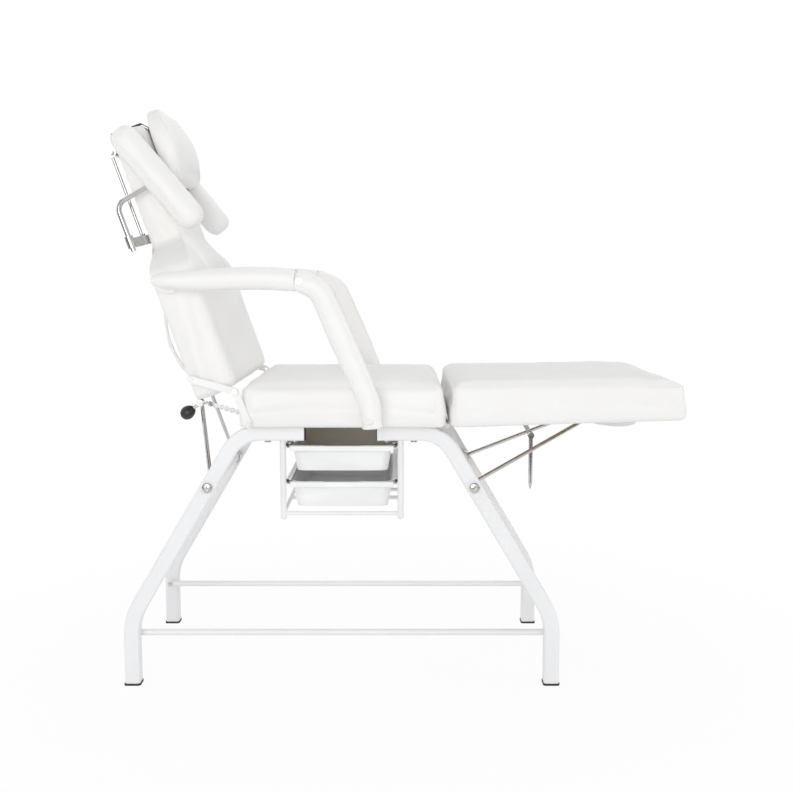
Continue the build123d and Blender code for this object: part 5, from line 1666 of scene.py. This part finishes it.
@dataclass
class ArmPost(SoftPiece):
    """The sloping part of an arm: a padded tube with a ball at its top.

    Each row of the path is a bend: a distance ahead of the front pivot and a rise from it, in metres.
    """

    path: tuple[tuple[float, float], ...] = ((0.0, 0.0), (0.046, -0.018), (0.162, -0.285), (0.167, -0.341))
    bends: tuple[float, float] = (0.062, 0.12)
    foot_gap: float = 0.004
    radius: float = 0.0255
    fullness: float = 0.0035
    foot_loss: float = 0.003
    crease: float = 0.035
    crease_share: float = 0.18
    ball_cuts: tuple[float, ...] = (0.12, 0.3, 0.5, 0.7, 0.86, 0.96)
    foot_cuts: tuple[tuple[float, float], ...] = (
        (0.985, 0.0022),
        (0.95, 0.0042),
        (0.88, 0.0056),
        (0.74, 0.0063),
        (0.45, 0.0066),
    )
    slices: int = 64
    around: int = 72
    seam_radius: float = 0.0011

    def _line(self, y: float) -> list[Vector]:
        """The rounded middle line as even points from the front pivot down.

        Args:
            y: the arm's distance from the middle plane.

        Returns:
            The points.
        """
        corners = [Vector((x, 0.0, z)) for x, z in self.path]
        points: list[Vector] = [corners[0]]
        for before, corner, after, radius in zip(corners, corners[1:], corners[2:], self.bends):
            back, on = (before - corner).normalized(), (after - corner).normalized()
            half = back.angle(on) / 2
            room = min((after - corner).length, (before - corner).length) * 0.95
            reach = min(radius / math.tan(half), room)
            first, last = corner + back * reach, corner + on * reach
            for i in range(13):
                share = i / 12
                points.append(first.lerp(corner, share).lerp(corner.lerp(last, share), share))
        points.append(corners[-1])
        steps = [(b - a).length for a, b in zip(points, points[1:])]
        run = np.concatenate([[0.0], np.cumsum(steps)])
        wanted = np.linspace(0.0, run[-1] - self.foot_gap, self.slices)
        xs = np.interp(wanted, run, [p.x for p in points])
        zs = np.interp(wanted, run, [p.z for p in points])
        return [Vector((ARM_X + x, y, ARM_Z + z)) for x, z in zip(xs, zs)]

    def _ring(self, centre: Vector, run: Vector, flat: float, deep: float, crease: float = 0.0) -> Ring:
        """One slice across the tube.

        Args:
            centre: its middle.
            run: the way the tube runs there.
            flat: its half size in the arm's plane.
            deep: its half size across the arm's plane.
            crease: how strongly it is creased.

        Returns:
            The slice's points.
        """
        side_on = run.cross(Y_AXIS).normalized()
        ring = []
        for k in range(self.around):
            angle = 2 * math.pi * k / self.around
            u = flat * filled(math.cos(angle), 0.82)
            v = deep * filled(math.sin(angle), 0.82) * (1.0 + crease * math.sin(angle * 7))
            ring.append(centre + side_on * u + Y_AXIS * v)
        return ring

    def build(self, name: str, side: float, body: str, node: str) -> bpy.types.Object:
        """Makes one arm post.

        Args:
            name: the post's name.
            side: 1 for the left one, -1 for the right one.
            body: the CAD body it rides on.
            node: the CAD node it stands for.

        Returns:
            The finished post.
        """
        line = self._line(side * ARM_Y)
        gaps = [(b - a).length for a, b in zip(line, line[1:])]
        total, travelled = sum(gaps), 0.0
        rings: list[Ring] = []
        first_run = (line[1] - line[0]).normalized()
        for share in self.ball_cuts:
            back, small = math.sqrt(1.0 - share * share), self.radius * share
            rings.append(self._ring(line[0] - first_run * self.radius * back, first_run, small, small))
        last = len(line) - 1
        for i, centre in enumerate(line):
            run = (line[min(i + 1, last)] - line[max(i - 1, 0)]).normalized()
            share = travelled / total
            full = self.fullness * math.sin(math.pi * min(1.0, share * 1.15))
            flat = self.radius + full - self.foot_loss * eased((share - 0.85) / 0.15)
            crease = self.crease * max(0.0, 1.0 - share / self.crease_share)
            rings.append(self._ring(centre, run, flat, self.radius, crease))
            if i < last:
                travelled += gaps[i]
        last_run = (line[-1] - line[-2]).normalized()
        for share, ahead in self.foot_cuts:
            small = self.radius * share
            rings.append(self._ring(line[-1] + last_run * ahead, last_run, small, small))
        piece = RingMesh(rings, cap_rings=1).build(f"{name}_leather")
        Ripple(0.0007, 24.0, 7.0 + side).apply(piece)
        self.settle(piece, body, node, 0.9)
        self._seams(piece, line, side, name, body)
        return piece

    def _seams(self, piece: bpy.types.Object, line: list[Vector], side: float, name: str, body: str) -> None:
        """Two seams down the outer face, with a row of stitches along the front one.

        Args:
            piece: the finished post.
            line: its middle line.
            side: 1 for the left one, -1 for the right one.
            name: the post's name.
            body: the CAD body they ride on.
        """
        skin = Skin(piece)
        outward = Y_AXIS * side
        cords, rows = [], []
        for offset, stitch in ((0.02, 0.0145), (-0.02, -0.0145)):
            cord, row = [], []
            for i in range(4, self.slices - 2):
                side_on = (line[i + 1] - line[i - 1]).normalized().cross(Y_AXIS).normalized()
                cord.append(line[i] + side_on * offset + outward * 0.027)
                row.append(line[i] + side_on * stitch + outward * 0.032)
            cords.append(skin.follow(cord, 0.0002))
            rows.append(skin.follow(row))
        self.trim(f"{name}_seams", body, cords, self.seam_radius)
        self.sew(f"{name}_stitches", body, rows[:1])


def soft_bar(
    name: str, low: Vector, high: Vector, soft: float, material: bpy.types.Material
) -> bpy.types.Object:
    """A bar with rounded edges between two corners.

    Args:
        name: the piece's name.
        low: its lowest corner.
        high: its highest corner.
        soft: radius of its edges.
        material: its finish.

    Returns:
        The new object.
    """
    mesh = bmesh.new()
    bmesh.ops.create_cube(mesh, size=1.0)
    middle, size = (low + high) / 2, high - low
    for vertex in mesh.verts:
        vertex.co = middle + Vector(a * b for a, b in zip(vertex.co, size))
    bmesh.ops.bevel(mesh, geom=mesh.edges[:], offset=soft, segments=5, profile=0.5, affect="EDGES")
    return finished(mesh, name, material)


@dataclass(frozen=True)
class BoltDomes:
    """Domed heads with a cross recess on the four large bolts, in metres."""

    radius: float = 0.0125
    wall: float = 0.0057
    rise: float = 0.0034
    slot_half: float = 0.0015
    slot_reach: float = 0.0066
    slot_floor: float = 0.0046
    slot_soft: float = 0.0003
    sharp_angle: float = 40.0
    cad_radius: float = 0.012
    cad_height: float = 0.0055

    def dome(self, name: str, foot: Vector, side: float, material: bpy.types.Material) -> bpy.types.Object:
        """One closed dome that stands on the leg's face.

        Args:
            name: the dome's name.
            foot: the middle of its base.
            side: 1 where it faces left, -1 where it faces right.
            material: its finish.

        Returns:
            The new object.
        """
        mesh = bmesh.new()
        bmesh.ops.create_uvsphere(mesh, u_segments=56, v_segments=28, radius=1.0)
        for vertex in mesh.verts:
            x, z, out = vertex.co
            reach = math.hypot(x, z)
            if out < 0.0 and reach > 0.01:
                x, z = x / reach, z / reach
            height = self.wall + (self.rise * out if out > 0.0 else self.wall * out)
            vertex.co = foot + Vector((x * self.radius, side * height, z * self.radius))
        return finished(mesh, name, material)

    def recessed(self, piece: bpy.types.Object, foot: Vector, side: float) -> None:
        """Cuts the cross into a dome.

        Args:
            piece: the dome.
            foot: the middle of its base.
            side: 1 where it faces left, -1 where it faces right.
        """
        near, far = foot.y + side * self.slot_floor, foot.y + side * (self.wall + 2 * self.rise)
        material = piece.data.materials[0]
        cutters = []
        for half_x, half_z in ((self.slot_half, self.slot_reach), (self.slot_reach, self.slot_half)):
            low = Vector((foot.x - half_x, min(near, far), foot.z - half_z))
            high = Vector((foot.x + half_x, max(near, far), foot.z + half_z))
            cutter = soft_bar("recess", low, high, self.slot_soft, material)
            cut = piece.modifiers.new("recess", "BOOLEAN")
            cut.operation, cut.object, cut.solver = "DIFFERENCE", cutter, "EXACT"
            cutters.append(cutter)
        shown = piece.evaluated_get(bpy.context.evaluated_depsgraph_get())
        cut_mesh = bpy.data.meshes.new_from_object(shown)
        piece.modifiers.clear()
        piece.data = cut_mesh
        piece.data.materials.clear()
        piece.data.materials.append(material)
        piece.data.polygons.foreach_set("material_index", [0] * len(piece.data.polygons))
        piece.data.set_sharp_from_angle(angle=math.radians(self.sharp_angle))
        for cutter in cutters:
            bpy.data.objects.remove(cutter)

    def build(self, palette: Palette) -> None:
        """Adds a dome to each of the four bolts.

        Args:
            palette: the finishes.
        """
        low, high = (Vector(corner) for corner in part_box("cross_bolts"))
        level = (low.z + high.z) / 2
        for end_name, x in (("head", low.x + self.cad_radius), ("foot", high.x - self.cad_radius)):
            for side_name, side in SIDES:
                foot = Vector((x, side * (high.y - self.cad_height), level))
                name = f"bolt_dome_{end_name}_{side_name}"
                piece = self.dome(name, foot, side, palette.made[Slot.STEEL])
                self.recessed(piece, foot, side)
                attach(piece, "frame")
        LOG.info("capped the large bolts")


@dataclass(frozen=True)
class DrawerTrim:
    """The rolled front lips of the drawers and the end caps of their runners, in metres."""

    lip_height: float = 0.0125
    lip_depth: float = 0.005
    lip_above: float = 0.0004
    lip_inset: float = 0.009
    lip_soft: float = 0.0018
    cap_width: float = 0.0065
    cap_height: float = 0.0073
    cap_depth: float = 0.0025
    cap_soft: float = 0.0007
    front_overhang: float = 0.0015
    back_overlap: float = 0.001
    level_drop: float = 0.0895

    def build(self, palette: Palette) -> None:
        """Adds a lip to each drawer and a cap to each runner's front and back end.

        Args:
            palette: the finishes.
        """
        runner_low, runner_high = (Vector(corner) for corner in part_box("drawer_runners"))
        caps = (("front", runner_low.y - self.front_overhang), ("back", runner_high.y - self.back_overlap))
        for node, body, level in (("drawer_upper", "upper_drawer", 0), ("drawer_lower", "lower_drawer", 1)):
            low, high = (Vector(corner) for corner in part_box(node))
            left, right = runner_low.x + self.lip_inset, runner_high.x - self.lip_inset
            start = Vector((left, low.y - self.lip_depth * 0.6, high.z - self.lip_height))
            end = Vector((right, low.y + self.lip_depth * 0.4, high.z + self.lip_above))
            lip = soft_bar(f"{node}_front_lip", start, end, self.lip_soft, palette.made[Slot.PLASTIC])
            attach(lip, body)
            base = runner_high.z - level * self.level_drop - self.cap_height
            for end_name, y in caps:
                for side_name, x in (("a", runner_low.x), ("b", runner_high.x - self.cap_width)):
                    corner = Vector((x, y, base))
                    far = corner + Vector((self.cap_width, self.cap_depth, self.cap_height))
                    name = f"{node}_runner_cap_{end_name}_{side_name}"
                    cap = soft_bar(name, corner, far, self.cap_soft, palette.made[Slot.BLACK])
                    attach(cap, "frame")
        LOG.info("trimmed the drawers")


# Stage


@dataclass(frozen=True)
class Lamp:
    """One soft square lamp aimed at a point."""

    name: str
    place: Triple
    aim: Triple
    size: float
    power: float
    tone: Triple

    def hang(self) -> None:
        """Hangs the lamp."""
        data = bpy.data.lights.new(self.name, "AREA")
        data.size, data.energy, data.color = self.size, self.power, self.tone
        made = placed(self.name, data)
        made.location = self.place
        made.rotation_euler = (Vector(self.aim) - Vector(self.place)).to_track_quat("-Z", "Y").to_euler()


@dataclass(frozen=True)
class Card:
    """A flat card turned toward the chair, which only polished surfaces see."""

    name: str
    place: Triple
    size: tuple[float, float]
    aim: Triple = (0.0, 0.0, 0.8)

    def stand(self, material: bpy.types.Material) -> None:
        """Stands the card in its place.

        Args:
            material: its dark finish.
        """
        mesh = bmesh.new()
        bmesh.ops.create_grid(mesh, x_segments=1, y_segments=1, size=0.5)
        turn = (Vector(self.aim) - Vector(self.place)).to_track_quat("Z", "Y").to_matrix().to_4x4()
        for vertex in mesh.verts:
            flat = Vector((vertex.co.x * self.size[0], vertex.co.y * self.size[1], 0.0))
            vertex.co = Vector(self.place) + turn @ flat
        data = bpy.data.meshes.new(self.name)
        mesh.to_mesh(data)
        mesh.free()
        data.materials.append(material)
        card = placed(self.name, data)
        for kind in ("camera", "diffuse", "transmission", "shadow", "volume_scatter"):
            setattr(card, f"visible_{kind}", False)


LAMPS = (
    Lamp("front light", (-0.8, -4.9, 1.5), (0.0, 0.0, 0.75), 2.6, 71.0, (1.0, 0.992, 0.98)),
    Lamp("top light", (0.3, 1.5, 3.1), (0.0, 0.0, 0.7), 2.4, 11.0, (1.0, 1.0, 1.0)),
    Lamp("left light", (-3.2, 0.6, 1.6), (0.0, 0.0, 0.8), 1.8, 15.0, (0.98, 0.99, 1.0)),
    Lamp("right light", (3.4, -0.8, 1.8), (0.0, 0.0, 0.7), 1.8, 24.0, (1.0, 0.975, 0.94)),
)
CARDS = (
    Card("card_left", (-2.9, -1.4, 1.0), (1.5, 3.0)),
    Card("card_right", (2.9, -1.5, 1.0), (1.4, 3.0)),
    Card("card_above", (0.0, -2.2, 3.0), (5.0, 1.0)),
    Card("card_low", (0.0, -2.4, 0.12), (5.0, 0.3)),
    Card("card_behind", (0.0, 3.0, 1.4), (6.0, 0.35)),
    Card("card_behind_left", (-3.0, 1.4, 1.2), (2.2, 3.2)),
    Card("card_behind_right", (3.0, 1.4, 1.2), (2.2, 3.2)),
)


@dataclass(frozen=True)
class Stage:
    """The floor, the lights, the world and the camera."""

    lens: float = 49.44
    sensor: float = 36.0
    place: Triple = (0.011, -2.871, 1.0135)
    pitch: float = 6.366
    clip: tuple[float, float] = (0.05, 60.0)
    floor_size: float = 40.0
    floor_level: float = -0.0005
    floor_tone: Triple = (0.92, 0.92, 0.92)
    floor_glow: float = 0.93
    glow_reach: tuple[float, float] = (0.7, 1.7)
    sky_tone: Triple = (0.97, 0.985, 1.0)
    sky_strength: float = 0.66
    card_tone: Triple = (0.02, 0.02, 0.02)

    def floor(self) -> None:
        """A plain pale floor that keeps a soft shadow and fades to white farther out."""
        bpy.ops.mesh.primitive_plane_add(size=self.floor_size, location=(0.0, 0.0, self.floor_level))
        ground = bpy.context.object
        ground.name = "floor"
        graph = MaterialGraph("pale floor")
        place = {0: graph.coordinates()}
        away = graph.node("ShaderNodeVectorMath", {"operation": "LENGTH"}, place, out="Value")
        matt = graph.node("ShaderNodeBsdfDiffuse", None, {"Color": (*self.floor_tone, 1.0)})
        bright = graph.node("ShaderNodeEmission", None, {"Color": (1.0, 1.0, 1.0, 1.0), "Strength": 1.0})
        glow = self.floor_glow + away.ramp(*self.glow_reach) * (1.0 - self.floor_glow)
        mixed = graph.node("ShaderNodeMixShader", None, {0: graph.seen_rays() * glow, 1: matt, 2: bright})
        ground.data.materials.append(graph.ended(mixed))

    def world(self) -> None:
        """A white background that lights the object at a plain level."""
        world = bpy.data.worlds.new("studio")
        bpy.context.scene.world = world
        world.use_nodes = True
        graph = Graph(world.node_tree)
        sky = {"Color": (*self.sky_tone, 1.0), "Strength": self.sky_strength}
        light = graph.node("ShaderNodeBackground", None, sky)
        shown = graph.node("ShaderNodeBackground", None, {"Color": (1.0, 1.0, 1.0, 1.0), "Strength": 1.0})
        mix = graph.node("ShaderNodeMixShader", None, {0: graph.seen_rays(), 1: light, 2: shown})
        graph.node("ShaderNodeOutputWorld", None, {"Surface": mix})

    def cards(self) -> None:
        """Dark cards beside, above and behind the chair."""
        graph = MaterialGraph("dark card")
        dark = graph.ended(graph.node("ShaderNodeBsdfDiffuse", None, {"Color": (*self.card_tone, 1.0)}))
        for card in CARDS:
            card.stand(dark)

    def camera(self) -> None:
        """The camera at the photograph's viewing angle."""
        data = bpy.data.cameras.new("camera")
        data.lens = self.lens
        data.sensor_width = self.sensor
        data.clip_start, data.clip_end = self.clip
        made = placed("camera", data)
        made.location = self.place
        made.rotation_euler = (math.radians(90.0 - self.pitch), 0.0, 0.0)
        bpy.context.scene.camera = made

    def build(self) -> None:
        """Sets the whole stage."""
        bpy.context.scene.view_settings.view_transform = "Standard"
        self.floor()
        self.world()
        for lamp in LAMPS:
            lamp.hang()
        self.cards()
        self.camera()
        LOG.info("set the stage")


SEAT_AXES = Axes(Vector((-0.3645, 0.0, 0.652)), X_AXIS, Y_AXIS, Z_AXIS)
SEAT_SIZE = BoxCushionSize(length=0.4935, half=0.3045, edge=0.098, crown=0.013)
LEG_AXES = Axes(LEG_PIVOT + LEG_ALONG * 0.006 + LEG_UP * 0.0085, LEG_ALONG, Y_AXIS, LEG_UP)
LEG_SIZE = BoxCushionSize(
    length=0.564, half=0.3045, edge=0.101, crown=0.006, toe_rise=0.008, toe_drop=0.006, taper=0.009
)


class Chair:
    """The whole dressed chair."""

    def __init__(self) -> None:
        """Makes the finishes and the stitching that its pieces share."""
        self.palette = Palette()
        self.stitches = StitchRow()

    def dress(self) -> None:
        """Finishes the frame and makes every soft piece."""
        self.palette.dress_frame()
        common = (self.palette, self.stitches)
        BoxCushion(*common, "seat_pad", SEAT_AXES, SEAT_SIZE).build("frame", "seat_cushion")
        leg = BoxCushion(*common, "leg_rest_pad", LEG_AXES, LEG_SIZE)
        leg_piece = leg.build("leg_rest", "leg_rest_cushion")
        ToeWelt(*common).build(leg, leg_piece, "leg_rest")
        DrawerTrim().build(self.palette)
        BoltDomes().build(self.palette)
        BackCushion(*common, BackSize()).build("backrest", "backrest_cushion")
        HeadPillow(*common).build("pillow", "head_pillow")
        for side_name, side in SIDES:
            name = f"bolster_{side_name}"
            Bolster(*common).build(name, side, name, f"bolster_pad_{side_name}")
            ArmPad(*common).build(f"arm_top_{side_name}", side, f"pad_{side_name}", f"arm_pad_{side_name}")
            post = ArmPost(*common)
            post.build(f"arm_support_{side_name}", side, f"post_{side_name}", f"arm_post_{side_name}")


def main() -> None:
    """Builds the scene."""
    Chair().dress()
    Stage().build()


if __name__ == "__main__":
    main()
